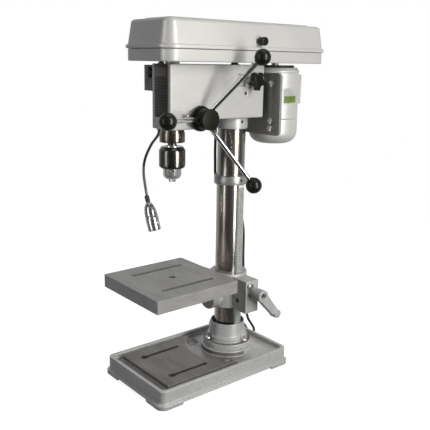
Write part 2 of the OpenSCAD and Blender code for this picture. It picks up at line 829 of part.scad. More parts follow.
module step_pulley(bore, rising) {
    groove = belt_t - 1;
    difference() {
        for (i = [0:steps_n - 1]) {
            level = rising ? steps_n - 1 - i : i;
            r = (pulley_d - level * pulley_step) / 2;
            translate([0, 0, i * step_h]) rotate_extrude($fn = 96) polygon([[0, 0], [r + 3, 0], [r + 3, 1.5],
                [r - groove, 1.5 + groove * 0.36], [r - groove, step_h - 1.5 - groove * 0.36],
                [r + 3, step_h - 1.5], [r + 3, step_h], [0, step_h]]);
        }
        translate([0, 0, -over]) cylinder(h = pulley_h + 2 * over, r = bore);
    }
}

module spindle_pulley() {
    color([0.6, 0.6, 0.62]) translate([0, spindle_y, pulley_z])
        step_pulley(drive_sleeve_r + press_gap, false);
}

module motor_pulley() {
    color([0.6, 0.6, 0.62]) translate([0, motor_y, pulley_z]) step_pulley(motor_shaft_r + press_gap, true);
}

module drive_sleeve() {
    color(steel) translate([0, spindle_y, quill_top + 2])
        tube(2 * drive_sleeve_r, 2 * (spindle_r + run_gap), pulley_z + pulley_h - quill_top - 2);
}

module pulley_bearing() {
    color(steel) translate([0, spindle_y, quill_top + 4])
        tube(2 * quill_r, 2 * (drive_sleeve_r + shaft_fit), head_top - quill_top - 4);
}

// One belt loop: two straight runs and the wraps on the second step of each pulley
module belt_outline(grow) {
    a = spindle_groove_r + grow;
    b = motor_groove_r + grow;
    d = motor_y - spindle_y;
    lean = asin((a - b) / d);
    translate([0, spindle_y]) circle(a, $fn = 96);
    translate([0, motor_y]) circle(b, $fn = 96);
    polygon([[a * cos(lean), spindle_y + a * sin(lean)], [b * cos(lean), motor_y + b * sin(lean)],
        [-b * cos(lean), motor_y + b * sin(lean)], [-a * cos(lean), spindle_y + a * sin(lean)]]);
}

module v_belt() {
    color(dark) translate([0, 0, belt_z - belt_w / 2 + 2.2]) linear_extrude(belt_w - 4.4) difference() {
        belt_outline(3);
        belt_outline(3 - belt_t);
    }
}

// Quill, spindle and chuck

module quill() {
    spaces = ceil(quill_travel / feed_pitch) + 1;
    root = quill_r - feed_module * 2.2;
    tip = quill_r - feed_module * 0.2;
    color(steel) translate([0, spindle_y, 0]) difference() {
        union() {
            translate([0, 0, quill_z]) cylinder(h = quill_top - quill_z, d = quill_d);
            translate([0, 0, quill_z]) cylinder(h = quill_end_h, d = quill_end_d);
        }
        translate([0, 0, quill_z - over]) cylinder(h = quill_top - quill_z + 2 * over, r = spindle_r + 3);
        translate([0, 0, quill_z - over]) cylinder(h = bearing_h + over, d = bearing_d);
        translate([0, 0, quill_top - bearing_h]) cylinder(h = bearing_h + over, d = bearing_d);
        translate([-quill_r, tip, feed_z - feed_run_out]) cube([quill_d, quill_r, quill_top]);
        for (i = [-1:spaces - 1]) translate([-quill_r, 0, feed_z + i * feed_pitch]) rotate([90, 0, 90])
            linear_extrude(quill_d) polygon([[root, -0.16 * feed_pitch], [quill_r + 1, -0.44 * feed_pitch],
                [quill_r + 1, 0.44 * feed_pitch], [root, 0.16 * feed_pitch]]);
    }
}

module quill_bearings() {
    color(steel) translate([0, spindle_y, 0]) for (z = [quill_z, quill_top - bearing_h]) translate([0, 0, z])
        tube(bearing_d - 2 * press_gap, 2 * (spindle_r + shaft_fit), bearing_h);
}

module spindle() {
    color(steel) translate([0, spindle_y, chuck_top - spindle_grip])
        cylinder(h = pulley_z + pulley_h - chuck_top + 10, r = spindle_r);
}

module jaw_places(i) {
    rotate(i * 120 + 30) translate([3.4, 0, jaw_tip_z]) rotate([0, jaw_lean, 0]) children();
}

module chuck_body() {
    nose_r = chuck_nose_d / 2;
    collar = spindle_r + 6;
    color([0.4, 0.4, 0.4]) translate([0, spindle_y, 0]) difference() {
        rotate_extrude() polygon([[0, chuck_z], [nose_r - 8, chuck_z], [nose_r - 2.5, chuck_z + 3.5],
            [nose_r, chuck_z + 9], [nose_r, sleeve_top], [collar, sleeve_top], [collar, chuck_top],
            [0, chuck_top]]);
        translate([0, 0, chuck_top - spindle_grip])
            cylinder(h = spindle_grip + over, r = spindle_r + press_gap);
        translate([0, 0, chuck_z - over]) cylinder(h = sleeve_z + 6 - chuck_z, r = 6.8);
        for (i = [0:2]) jaw_places(i) cylinder(h = jaw_l + jaw_travel + 2, r = jaw_bore_r);
        for (i = [0:2]) rotate(i * 120 + 90) translate([nose_r, 0, sleeve_z - 5])
            along_x() cylinder(h = 12, d = 6, center = true);
    }
}

// Ring round the body, with room inside for the jaws when they draw back
module chuck_sleeve() {
    bore = chuck_nose_d / 2 + shaft_fit;
    r = sleeve_d / 2;
    room = r - 3.5;
    color([0.35, 0.35, 0.36]) translate([0, spindle_y, 0]) rotate_extrude()
        polygon([[bore, sleeve_z], [r - 4, sleeve_z], [r, sleeve_z + 4], [r, sleeve_top - 7],
            [r - 5, sleeve_top], [bore, sleeve_top], [bore, sleeve_top - 5], [room, sleeve_top - 5],
            [room, sleeve_z + 5], [bore, sleeve_z + 5]]);
}

module chuck_jaw(i) {
    color(steel) translate([0, spindle_y, 0]) intersection() {
        jaw_places(i) cylinder(h = jaw_l, d = jaw_d);
        rotate(i * 120 + 30) translate([0.5, 0, jaw_tip_z]) linear_extrude(jaw_l)
            polygon([[0, 0], [40, 40 * tan(60)], [40, -40 * tan(60)]]);
    }
}

module chuck_jaw_1() {
    chuck_jaw(0);
}

module chuck_jaw_2() {
    chuck_jaw(1);
}

module chuck_jaw_3() {
    chuck_jaw(2);
}

// Feed levers

module feed_axis() {
    translate([0, feed_y, feed_z]) children();
}

module feed_shaft() {
    pinion_w = 16;
    neck_x = quill_r + 1;
    color(steel) feed_axis() {
        translate([-feed_boss_x - 18, 0, 0]) along_x()
            cylinder(h = feed_boss_x + 18 - neck_x, r = feed_left_r);
        translate([-neck_x, 0, 0]) along_x() cylinder(h = 2 * neck_x, r = feed_neck_r);
        translate([neck_x, 0, 0]) along_x() cylinder(h = hub_x + hub_socket - neck_x, r = feed_tip_r);
        translate([-pinion_w / 2, 0, 0]) rotate([90, 0, 90]) rotate(180)
            linear_extrude(pinion_w) gear_outline(feed_teeth, feed_module, 0.36);
    }
}

module lever_places() {
    feed_axis() for (i = [0:2]) rotate([i * 120 - lever_phase, 0, 0])
        translate([lever_cross_x, 0, 0]) rotate([90, 0, 0]) rotate([0, lever_tilt, 0]) children();
}

module feed_hub() {
    color(dark) difference() {
        feed_axis() translate([hub_x, 0, 0]) along_x() cylinder(h = hub_reach - hub_x, d = hub_d);
        feed_axis() translate([hub_x - over, 0, 0]) along_x()
            cylinder(h = hub_socket + over, r = feed_tip_r + press_gap);
        lever_places() translate([0, 0, lever_root]) cylinder(h = 30, d = lever_d + 2 * press_gap);
    }
}

module lever_rods() {
    color(steel) lever_places() translate([0, 0, lever_root])
        cylinder(h = lever_l - lever_root - 5, d = lever_d);
}

module lever_balls() {
    color(dark) lever_places() difference() {
        translate([0, 0, lever_l]) sphere(d = ball_d);
        translate([0, 0, lever_l - ball_d]) cylinder(h = ball_d - 5, d = lever_d + 2 * press_gap);
    }
}

module depth_dial() {
    color(steel) feed_axis() translate([feed_boss_x + run_gap, 0, 0]) along_x() difference() {
        tube(dial_d, 2 * (feed_tip_r + shaft_fit), dial_t);
        rotate(dial_lock_turn) translate([dial_d / 2, 0, dial_t / 2]) along_x()
            cylinder(h = 12, d = dial_lock_d + 2 * press_gap, center = true);
    }
}

// Thumb screw that fixes the dial
module dial_lock() {
    color(dark) feed_axis() translate([feed_boss_x + run_gap, 0, 0]) along_x() rotate(dial_lock_turn)
        translate([dial_d / 2, 0, dial_t / 2]) along_x() {
            translate([0, 0, -3]) cylinder(h = 9, d = dial_lock_d);
            translate([0, 0, 3]) cylinder(h = 8, d = 8);
        }
}

// Switch and lamp

module switch_shell() {
    difference() {
        translate([switch_x, switch_y, switch_z]) cube([switch_w + 10, switch_l, switch_h]);
        translate([0, 0, switch_z - over]) linear_extrude(switch_h + 2 * over) head_outline();
        translate([switch_x + switch_wall, switch_y + switch_wall, switch_z + switch_wall])
            cube([switch_w - 2 * switch_wall - 1, switch_l - 2 * switch_wall, switch_h - 2 * switch_wall]);
    }
}

module switch_box() {
    color(plate_grey) difference() {
        union() {
            switch_shell();
            translate([switch_x + eps, toggle_y, toggle_z]) along_x()
                cylinder(h = switch_wall + toggle_boss_l, d = toggle_ball_d + 6);
        }
        translate([button_x, switch_y - over, button_z]) along_y()
            cylinder(h = 10, d = button_d + 2 * shaft_fit);
        translate([switch_x - over, toggle_y, toggle_z]) along_x()
            cylinder(h = switch_wall + toggle_boss_l + 2 * over, d = toggle_ball_d + 2 * run_gap);
    }
}

module switch_button() {
    color(dark) translate([button_x, switch_y, button_z]) rotate([90, 0, 0]) {
        translate([0, 0, -6]) cylinder(h = 11, d = button_d);
        translate([0, 0, -8]) cylinder(h = 4, d = button_d + 3);
    }
}

// A small toggle that works the lamp
module lamp_toggle() {
    ball_r = toggle_ball_d / 2;
    ball = [for (a = [-60:20:40]) ball_r * [cos(a), sin(a)]];
    outline = concat([[0, -toggle_l], [toggle_rod_d / 2, -toggle_l]], ball, [[ball_r - 1, 6], [0, 6]]);
    color(steel) translate([switch_x + switch_wall + 4, toggle_y, toggle_z]) along_x()
        rotate_extrude() polygon(outline);
}

module lamp_neck_upper() {
    color(dark) {
        translate([lamp_root[0], lamp_root[1], nose_z - 4]) cylinder(h = lamp_root_l, d = lamp_neck_d);
        translate([lamp_root[0], lamp_root[1], nose_z - 4]) cylinder(h = 4, d = lamp_neck_d + 5, $fn = 6);
        swept_tube(smooth_route(lamp_upper_route, 5), lamp_neck_d, 10, [0, 1, 0]);
        translate(lamp_pivot) sphere(d = lamp_neck_d);
    }
}

module lamp_neck_lower() {
    color(dark) difference() {
        union() {
            swept_tube(smooth_route(lamp_lower_route, 5), lamp_neck_d, 10, [0, 1, 0]);
            lamp_axis() translate([0, 0, -9]) cylinder(h = 13, d = 10);
        }
        translate(lamp_pivot) sphere(d = lamp_neck_d + 2 * run_gap);
    }
}

module lamp_axis() {
    translate(lamp_tip) rotate([0, -lamp_lean, 0]) rotate([180, 0, 0]) children();
}

// Radii and heights of the shade's outline: it swells from its neck to a seam and runs straight to its mouth
function shade_outline(wall) = [for (p = shade_curve) [p[0] * shade_d / 2 - wall, p[1]]];

module lamp_shade() {
    wall = 1.2;
    seat = shade_outline(wall);
    inside = [for (p = seat) if (p[1] >= shade_crown) p];
    color([0.85, 0.85, 0.86]) lamp_axis() translate([0, 0, shade_start]) difference() {
        rotate_extrude() polygon(concat([[0, 0]], shade_outline(0), [[0, shade_l]]));
        rotate_extrude() polygon(concat([[0, shade_crown]], inside, [[seat[5][0], shade_l + over]],
            [[0, shade_l + over]]));
    }
}

module lamp_bulb() {
    color([1, 0.95, 0.8]) lamp_axis() translate([0, 0, shade_start + shade_crown]) {
        cylinder(h = 16, d = 9);
        translate([0, 0, 24]) sphere(d = 17);
    }
}

// Motor

module motor_plate() {
    color(plate_grey) translate([0, motor_plate_y, motor_plate_z]) difference() {
        rotate([90, 0, 0]) translate([0, motor_plate_h / 2, -motor_plate_t]) linear_extrude(motor_plate_t)
            rounded_outline(motor_plate_w, motor_plate_h, 10);
        for (s = [-1, 1]) {
            translate([s * slide_rod_x, -over, slide_rod_z - motor_plate_z])
                along_y() cylinder(h = 20, d = slide_rod_d + 2 * press_gap);
            for (z = motor_bolt_levels) translate([s * motor_bolt_x, -over, z - motor_plate_z])
                along_y() cylinder(h = 20, d = motor_bolt_d + 2 * shaft_fit);
        }
    }
}

module motor_bolts() {
    color(steel) for (s = [-1, 1], z = motor_bolt_levels)
        translate([s * motor_bolt_x, motor_plate_y, z]) rotate([90, 0, 0])
            hex_bolt(motor_bolt_d, motor_plate_t + 8, 5);
}

module slide_rods() {
    color(steel) for (s = [-1, 1]) translate([s * slide_rod_x, slide_rod_tail, slide_rod_z])
        along_y() cylinder(h = motor_plate_y + motor_plate_t - slide_rod_tail, d = slide_rod_d);
}

// Round shell with two feet that bolt to the plate
module motor_body() {
    foot_y = motor_plate_y + motor_plate_t;
    color(iron) difference() {
        union() {
            translate([0, motor_y, motor_seam_low])
                cylinder(h = motor_seam_high - motor_seam_low, r = motor_r);
            translate([-motor_bolt_x - 12, foot_y, motor_seam_low - 26])
                cube([2 * motor_bolt_x + 24, 10, motor_seam_high - motor_seam_low + 22]);
        }
        translate([0, motor_y, motor_seam_low - 30]) cylinder(h = 30, r = motor_r + press_gap);
        translate([0, motor_y, motor_seam_low - 30]) cylinder(h = 200, r = motor_r - 20);
        for (s = [-1, 1], z = motor_bolt_levels) translate([s * motor_bolt_x, foot_y - over, z])
            along_y() cylinder(h = 20, d = motor_bolt_d + 2 * shaft_fit);
        for (s = [-1, 1]) translate([s * slide_rod_x, foot_y - over, slide_rod_z])
            along_y() cylinder(h = 5, d = slide_rod_d + 4);
    }
}

module motor_bells() {
    round_r = 26;
    color(iron) translate([0, motor_y, 0]) {
        difference() {
            rotate_extrude() {
                translate([0, motor_z]) square([motor_r - round_r, motor_seam_low - motor_z]);
                translate([0, motor_z + round_r]) square([motor_r, motor_seam_low - motor_z - round_r]);
                translate([motor_r - round_r, motor_z + round_r]) circle(round_r);
            }
            translate([0, 0, motor_z + bell_floor]) cylinder(h = motor_seam_low, r = motor_r - bell_wall);
            translate([0, 0, motor_z + 5]) cylinder(h = 10, r = motor_shaft_r + shaft_fit);
        }
        difference() {
            union() {
                translate([0, 0, motor_seam_high]) cylinder(h = 5, r = motor_r);
                translate([0, 0, motor_seam_high + 5])
                    cylinder(h = motor_top - motor_seam_high - 5, r1 = motor_r - 1, r2 = motor_r - 5);
            }
            translate([0, 0, motor_seam_high - over]) cylinder(h = 20, r = motor_shaft_r + shaft_fit);
        }
    }
}

module motor_shaft() {
    color(steel) translate([0, motor_y, 0]) {
        translate([0, 0, motor_z + 6]) cylinder(h = pulley_z + pulley_h - motor_z - 6, r = motor_shaft_r);
        translate([0, 0, motor_seam_low - 20])
            cylinder(h = motor_seam_high - motor_seam_low + 10, r = motor_r - bell_wall - run_gap);
    }
}

module capacitor_box() {
    place = [capacitor_x, motor_y + motor_r - capacitor_sink, motor_seam_low + capacitor_rise];
    color(iron) translate(place) difference() {
        cube([capacitor_w, capacitor_t, capacitor_h]);
        translate([-capacitor_x, capacitor_sink - motor_r, -over])
            cylinder(h = capacitor_h + 2 * over, r = motor_r + press_gap);
    }
}

// Star knob whose screw locks the right slide rod
module slide_lock_knob() {
    points = 5;
    face_x = head_half(knob_y) + 12;
    tip = slide_rod_x + slide_rod_d / 2 + run_gap;
    color(dark) translate([0, knob_y, slide_rod_z]) along_x() {
        translate([0, 0, tip]) cylinder(h = face_x - tip, d = 8);
        translate([0, 0, face_x]) difference() {
            cylinder(h = 13, d = 38);
            for (i = [0:points - 1]) rotate((i + 0.5) * 360 / points)
                translate([21, 0, -over]) cylinder(h = 20, d = 17);
        }
    }
}

// Table

module table() {
    lug_top = table_top - 6;
    color(ground) difference() {
        union() {
            translate([0, table_mid_y, table_top - table_t]) rounded_box(table_w, table_l, table_t, 3);
            translate([-knuckle_r, knuckle_front, tilt_z]) cube([2 * knuckle_r, knuckle_t, lug_top - tilt_z]);
            translate([0, knuckle_front, tilt_z]) along_y() cylinder(h = knuckle_t, r = knuckle_r);
            translate([-knuckle_r, spindle_y + 10, table_top - table_t - 12])
                cube([2 * knuckle_r, knuckle_front - spindle_y, 13]);
        }
        for (s = [-1, 1]) translate([s * table_slot_spacing / 2, spindle_y, table_top - table_t - over])
            slot(table_slot_l, slot_w, table_t + 2 * over);
        translate([0, spindle_y, table_top - table_t - over])
            cylinder(h = table_t + 2 * over, d = table_hole_d);
        translate([0, knuckle_front - over, tilt_z]) along_y()
            cylinder(h = knuckle_t + 2 * over, r = tilt_bolt_r + press_gap);
        translate([0, knuckle_front - over, tilt_z]) along_y() cylinder(h = 7 + over, r = tilt_bolt_r + 4);
    }
}

// Turns with the table in the bracket's knuckle
module tilt_bolt() {
    color(steel) translate([0, knuckle_front + 1, tilt_z]) along_y() {
        cylinder(h = 6, r = tilt_bolt_r + 3);
        cylinder(h = knuckle_t + 13, r = tilt_bolt_r);
    }
}

module bracket_body() {
    arm_y = knuckle_front + knuckle_t;
    translate([0, column_y, collar_z]) cylinder(h = collar_top - collar_z, d = collar_d);
    translate([0, arm_y, tilt_z]) along_y() cylinder(h = column_y - column_r - arm_y, r = knuckle_r - 2);
    translate([column_r, column_y + block_w / 2, 0]) rotate([90, 0, 0]) linear_extrude(block_w) {
        square_low = collar_z + block_round;
        translate([0, square_low]) square([block_reach - column_r, collar_top - 5 - square_low]);
        translate([block_round, collar_z]) square([block_reach - column_r - block_round, 20]);
        translate([block_round, square_low]) circle(block_round);
    }
    translate([block_reach - over, column_y, crank_z]) along_x() cylinder(h = 13, r = 9);
}

module table_bracket() {
    gear_room = lift_tip_r + 1;
    color(iron) difference() {
        bracket_body();
        translate([0, column_y, collar_z - over]) cylinder(h = collar_top, r = column_r + shaft_fit);
        translate([0, column_y - rack_w / 2 - 0.5, collar_z - over])
            cube([rack_tip + 1, rack_w + 1, collar_top]);
        translate([lift_gear_x, column_y - block_w / 2 + 6, lift_gear_z]) along_y()
            cylinder(h = block_w - 12, r = gear_room);
        translate([lift_gear_x, column_y - block_w / 2 - over, lift_gear_z]) along_y()
            cylinder(h = block_w + 2 * over, r = crank_shaft_r + shaft_fit);
        translate([rack_tip + 6, column_y, crank_z]) along_x() cylinder(h = 24, r = worm_r + 1);
        translate([rack_tip + 20, column_y, crank_z]) along_x()
            cylinder(h = 90, r = crank_shaft_r + shaft_fit);
        translate([0, knuckle_front, tilt_z]) along_y()
            cylinder(h = knuckle_t + 16, r = tilt_bolt_r + shaft_fit);
        translate([lock_x, lock_y, lock_z]) along_x() cylinder(h = 60, d = lock_d + 2 * shaft_fit);
    }
}

// Lift pinion on its cross shaft, driven by the crank's worm above it
module lift_gear() {
    color(steel) translate([lift_gear_x, column_y, lift_gear_z]) {
        translate([0, -block_w / 2, 0]) along_y() cylinder(h = block_w, r = crank_shaft_r);
        translate([0, -rack_w / 2, 0]) rotate([-90, 0, 0]) rotate(180)
            linear_extrude(rack_w) gear_outline(lift_teeth, lift_module, 0.36);
    }
}

// Crank shaft with the worm behind its plain end
module crank_shaft() {
    color(steel) translate([0, column_y, crank_z]) along_x() {
        translate([0, 0, rack_tip + 7]) cylinder(h = 16, r = worm_r);
        translate([0, 0, rack_tip + 20])
            cylinder(h = crank_plane - crank_back + crank_seat - rack_tip - 20, r = crank_shaft_r);
    }
}

module table_crank() {
    t = 22;
    root_w = crank_hub_d / 2 - 2;
    end_w = crank_end_d / 2 - 1;
    color(iron) translate([crank_plane - crank_back, column_y, crank_z])
        rotate([-crank_angle, 0, 0]) rotate([90, 0, 90]) difference() {
            union() {
                cylinder(h = t, d = crank_hub_d);
                translate([crank_l, 0, 6]) cylinder(h = t - 4, d = crank_end_d);
                translate([0, 0, 6]) linear_extrude(t - 8)
                    polygon([[0, -root_w], [crank_l, -end_w], [crank_l, end_w], [0, root_w]]);
            }
            translate([0, 0, -over]) cylinder(h = t, r = crank_shaft_r + press_gap);
            translate([0, 0, crank_seat]) cylinder(h = t, r = crank_shaft_r + 1.5);
        }
}

// Hex screw on the block's right face that locks the bracket on the column
module bracket_lock() {
    color(steel) translate([block_reach + run_gap, lock_y, lock_z]) along_x()
        hex_bolt(lock_d, block_reach - lock_x - 2, 6);
}

// Mains cord

module cord_gland() {
    color(dark) translate([gland_spot[0], gland_spot[1], 0]) {
        translate([0, 0, head_z]) cylinder(h = 12, d = 10);
        translate([0, 0, head_z - gland_l]) cylinder(h = gland_l, d1 = cord_d + 2, d2 = 13);
    }
}

function coil_turn(k) = k * 360 / coil_rings;

// Radius and height along the coil: spirals in on the lower layer, climbs in half a turn and spirals out
function coil_place(a) =
    let (span = coil_turns * 360, inner = coil_outer - coil_step * coil_turns,
        r = a < span ? coil_outer - coil_step * a / 360
            : a < span + 180 ? inner
            : inner + coil_step * (a - span - 180) / 360,
        rise = a < span ? 0 : a < span + 180 ? (1 - cos(a - span)) / 2 : 1)
        coil_centre + [r * cos(90 + a), r * sin(90 + a), rise * coil_layer];

coil_end = 2 * coil_turns * 360 + 180;
coil_points = [for (k = [0:coil_end / 360 * coil_rings]) coil_place(coil_turn(k))];
coil_exit = unit(coil_points[len(coil_points) - 1] - coil_points[len(coil_points) - 2]);
coil_level_exit = unit([coil_exit[0], coil_exit[1], 0]);
coil_last = coil_points[len(coil_points) - 1];
coil_route = concat([coil_points[0] + [cord_d, 0, 0]], coil_points,
    [coil_last + coil_tail / 2 * coil_level_exit, coil_last + coil_tail * coil_level_exit]);
coil_gap = min([for (i = [0:len(coil_points) - 1], j = [i + 8:1:len(coil_points) - 1])
    norm(coil_points[i] - coil_points[j])]) - cord_d;
echo(coil_least_gap = coil_gap);

module power_cord() {
    color(dark) swept_tube(smooth_route(cord_route, cord_steps), cord_d, 8, [1, 0, 0]);
}

module cord_coil() {
    color(dark) swept_tube(coil_route, cord_d, 6, [0, 0, 1]);
}

module plug() {
    start = coil_last + coil_tail * coil_level_exit;
    color(dark) translate(start) rotate(atan2(coil_level_exit[1], coil_level_exit[0])) along_x() {
        cylinder(h = relief_l, d1 = cord_d + 1, d2 = plug_d * 0.6);
        translate([0, 0, relief_l]) cylinder(h = plug_l, d = plug_d);
        for (s = [-1, 1]) translate([0, s * prong_spacing / 2, relief_l + plug_l])
            cylinder(h = prong_l, d = prong_d);
    }
}

base();
column_flange();
flange_bolts();
column();
table_rack();
rack_ring();
set_screws();
head_casting();
front_plate();
spring_cap();
return_spring();
belt_tray();
lid_hinges();
belt_lid();
lid_knob();
v_belt();
pulley_bearing();
spindle_pulley();
drive_sleeve();
quill();
quill_bearings();
spindle();
chuck_body();
chuck_sleeve();
chuck_jaw_1();
chuck_jaw_2();
chuck_jaw_3();
feed_shaft();
feed_hub();
lever_rods();
lever_balls();
depth_dial();
dial_lock();
switch_box();
switch_button();
lamp_toggle();
lamp_neck_upper();
lamp_neck_lower();
lamp_shade();
lamp_bulb();
motor_plate();
slide_rods();
motor_body();
motor_bells();
motor_shaft();
motor_pulley();
motor_bolts();
capacitor_box();
slide_lock_knob();
table();
table_bracket();
tilt_bolt();
lift_gear();
crank_shaft();
table_crank();
bracket_lock();
cord_gland();
power_cord();
cord_coil();
plug();
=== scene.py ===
import json
import math

import bmesh
import bpy
from mathutils import Matrix, Vector


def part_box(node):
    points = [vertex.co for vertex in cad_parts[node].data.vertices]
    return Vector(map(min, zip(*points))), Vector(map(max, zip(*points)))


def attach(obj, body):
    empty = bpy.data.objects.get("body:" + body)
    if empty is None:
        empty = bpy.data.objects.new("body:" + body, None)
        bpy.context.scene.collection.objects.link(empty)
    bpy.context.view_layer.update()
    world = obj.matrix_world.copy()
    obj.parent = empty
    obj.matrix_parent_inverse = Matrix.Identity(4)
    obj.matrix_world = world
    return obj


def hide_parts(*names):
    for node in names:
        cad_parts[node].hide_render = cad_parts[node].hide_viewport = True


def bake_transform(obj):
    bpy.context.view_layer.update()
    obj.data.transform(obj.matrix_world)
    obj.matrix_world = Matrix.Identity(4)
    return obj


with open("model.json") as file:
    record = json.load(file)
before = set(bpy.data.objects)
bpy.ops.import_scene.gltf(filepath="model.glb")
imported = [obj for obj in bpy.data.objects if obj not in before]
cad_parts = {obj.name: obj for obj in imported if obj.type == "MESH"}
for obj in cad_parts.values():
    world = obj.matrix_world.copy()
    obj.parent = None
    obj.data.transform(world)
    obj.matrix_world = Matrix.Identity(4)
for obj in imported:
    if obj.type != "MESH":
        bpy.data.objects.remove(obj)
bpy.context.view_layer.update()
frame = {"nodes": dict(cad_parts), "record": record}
cad = frame["nodes"]
bodies = frame["record"]["behaviour"]["bodies"]
body_of = {node: body for body, members in bodies.items() for node in members}
scene = bpy.context.scene
MM = 0.001
RIGHT, LEFT, REAR, UP = (1, 0, 0), (-1, 0, 0), (0, 1, 0), (0, 0, 1)
WHITE = (1, 1, 1, 1)


def mm(*values):
    """A place given in millimetres, in metres."""
    return Vector(values) * MM


def box_mm(node):
    """A node's lowest and highest corners, in millimetres."""
    low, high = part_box(node)
    return low / MM, high / MM


# Camera

VIEW_AZIMUTH = math.radians(50.5)
VIEW_PITCH = math.radians(13.2)
VIEW_ROLL = math.radians(1.0)
VIEW_PLACE = Vector((1.0377, -0.8477, 0.6707))
VIEW_LENS = 53.5
VIEW_SHIFT = -0.0098
VIEW_REACH = 50

view_level = Vector((-math.sin(VIEW_AZIMUTH), math.cos(VIEW_AZIMUTH), 0))
view_right = Vector((math.cos(VIEW_AZIMUTH), math.sin(VIEW_AZIMUTH), 0))


def add_camera():
    """A camera that stands where the photograph was taken from."""
    ahead = view_level * math.cos(VIEW_PITCH) - Vector((0, 0, math.sin(VIEW_PITCH)))
    above = view_right.cross(ahead)
    across = view_right * math.cos(VIEW_ROLL) + above * math.sin(VIEW_ROLL)
    upward = above * math.cos(VIEW_ROLL) - view_right * math.sin(VIEW_ROLL)
    lens = bpy.data.cameras.new("camera")
    lens.lens = VIEW_LENS
    lens.shift_y = VIEW_SHIFT
    lens.clip_end = VIEW_REACH
    camera = bpy.data.objects.new("camera", lens)
    turn = Matrix((across, upward, -ahead)).transposed().to_4x4()
    camera.matrix_world = Matrix.Translation(VIEW_PLACE) @ turn
    scene.collection.objects.link(camera)
    scene.camera = camera


# Materials: each takes its colour, gloss and relief from noise in the piece's own space, in metres

NOISE_ROUGHNESS = 0.55
NOISE_LOW, NOISE_HIGH = 0.35, 0.65
PATCH_DETAIL, GRAIN_DETAIL, BREAKUP_DETAIL = 4, 2, 3
COAT_ROUGHNESS = 0.2
BREAKUP_SCALE = 160
# The edge colour comes in along sharp edges: rubbed wear, and on the platform a painted edge highlight.
EDGE_MOST, EDGE_START, EDGE_FULL = 0.8, 0.52, 0.6
# Where the surface curves in, a finish goes darker, to its hollow colour.
HOLLOW_MOST, HOLLOW_FULL, HOLLOW_END = 0.7, 0.42, 0.49
SPECK_SHADE = (0.3, 0.3, 0.29)
SPECK_FULL, SPECK_END = 0.36, 0.56
MIX_FACTOR, MIX_FIRST, MIX_SECOND, MIX_RESULT = 0, 6, 7, 2


def add_node(material, kind, inputs=None, **settings):
    """Adds a shader node; an input that is a socket is linked, any other is set."""
    node = material.node_tree.nodes.new("ShaderNode" + kind)
    for name, value in settings.items():
        setattr(node, name, value)
    for name, value in (inputs or {}).items():
        if isinstance(value, bpy.types.NodeSocket):
            wire(material, value, node.inputs[name])
        else:
            node.inputs[name].default_value = value
    return node


def wire(material, source, target):
    material.node_tree.links.new(source, target)


def surface_of(material):
    return material.node_tree.nodes["Principled BSDF"]


def colour_of(material):
    """The socket that a finish has its colour from so far."""
    return surface_of(material).inputs["Base Color"].links[0].from_socket


def recoloured(material, colour):
    wire(material, colour, surface_of(material).inputs["Base Color"])
    return material


def own_space(material, stretch=(1, 1, 1)):
    """Coordinates of the piece, in metres; a small stretch value draws a pattern out along that axis."""
    coords = add_node(material, "TexCoord").outputs["Object"]
    return add_node(material, "Mapping", {"Vector": coords, "Scale": stretch}).outputs["Vector"]


def noise(material, vector, scale, detail):
    inputs = {"Vector": vector, "Scale": scale, "Detail": detail, "Roughness": NOISE_ROUGHNESS}
    return add_node(material, "TexNoise", inputs).outputs["Fac"]


def ramp(material, factor, low, high):
    """A colour that goes from low to high with a noise."""
    node = add_node(material, "ValToRGB", {"Fac": factor})
    first, last = node.color_ramp.elements
    first.position, first.color = NOISE_LOW, (*low, 1)
    last.position, last.color = NOISE_HIGH, (*high, 1)
    return node.outputs["Color"]


def spread(material, factor, low, high, start=NOISE_LOW, end=NOISE_HIGH):
    """A value that goes from low to high as the factor goes from start to end."""
    inputs = {"Value": factor, "From Min": start, "From Max": end, "To Min": low, "To Max": high}
    return add_node(material, "MapRange", inputs).outputs["Result"]


def relief(material, height, depth):
    inputs = {"Height": height, "Distance": depth, "Strength": 1}
    return add_node(material, "Bump", inputs).outputs["Normal"]


def mix_colour(material, factor, first, second, blend="MIX"):
    """Blends two colours, each a socket or three values."""
    inputs = {MIX_FACTOR: factor}
    for place, value in ((MIX_FIRST, first), (MIX_SECOND, second)):
        inputs[place] = value if isinstance(value, bpy.types.NodeSocket) else (*value, 1)
    return add_node(material, "Mix", inputs, data_type="RGBA", blend_type=blend).outputs[MIX_RESULT]


def finish(
    name, low, high, rough, metallic=0.0, *, broad, grain, depth, stretch=(1, 1, 1), coat=0.0, shine=0.5
):
    """A finish whose colour drifts from low to high, with a fine grain that shows in its gloss and relief.

    broad and grain say how fine the drift and the grain are; depth is the grain's height, in mm."""
    material = bpy.data.materials.new(name)
    material.use_nodes = True
    surface = surface_of(material)
    space = own_space(material, stretch)
    patches = noise(material, space, broad, PATCH_DETAIL)
    grains = noise(material, space, grain, GRAIN_DETAIL)
    wire(material, spread(material, grains, *rough), surface.inputs["Roughness"])
    wire(material, relief(material, grains, depth * MM), surface.inputs["Normal"])
    surface.inputs["Metallic"].default_value = metallic
    surface.inputs["Specular IOR Level"].default_value = shine
    surface.inputs["Coat Weight"].default_value = coat
    surface.inputs["Coat Roughness"].default_value = COAT_ROUGHNESS
    return recoloured(material, ramp(material, patches, low, high))


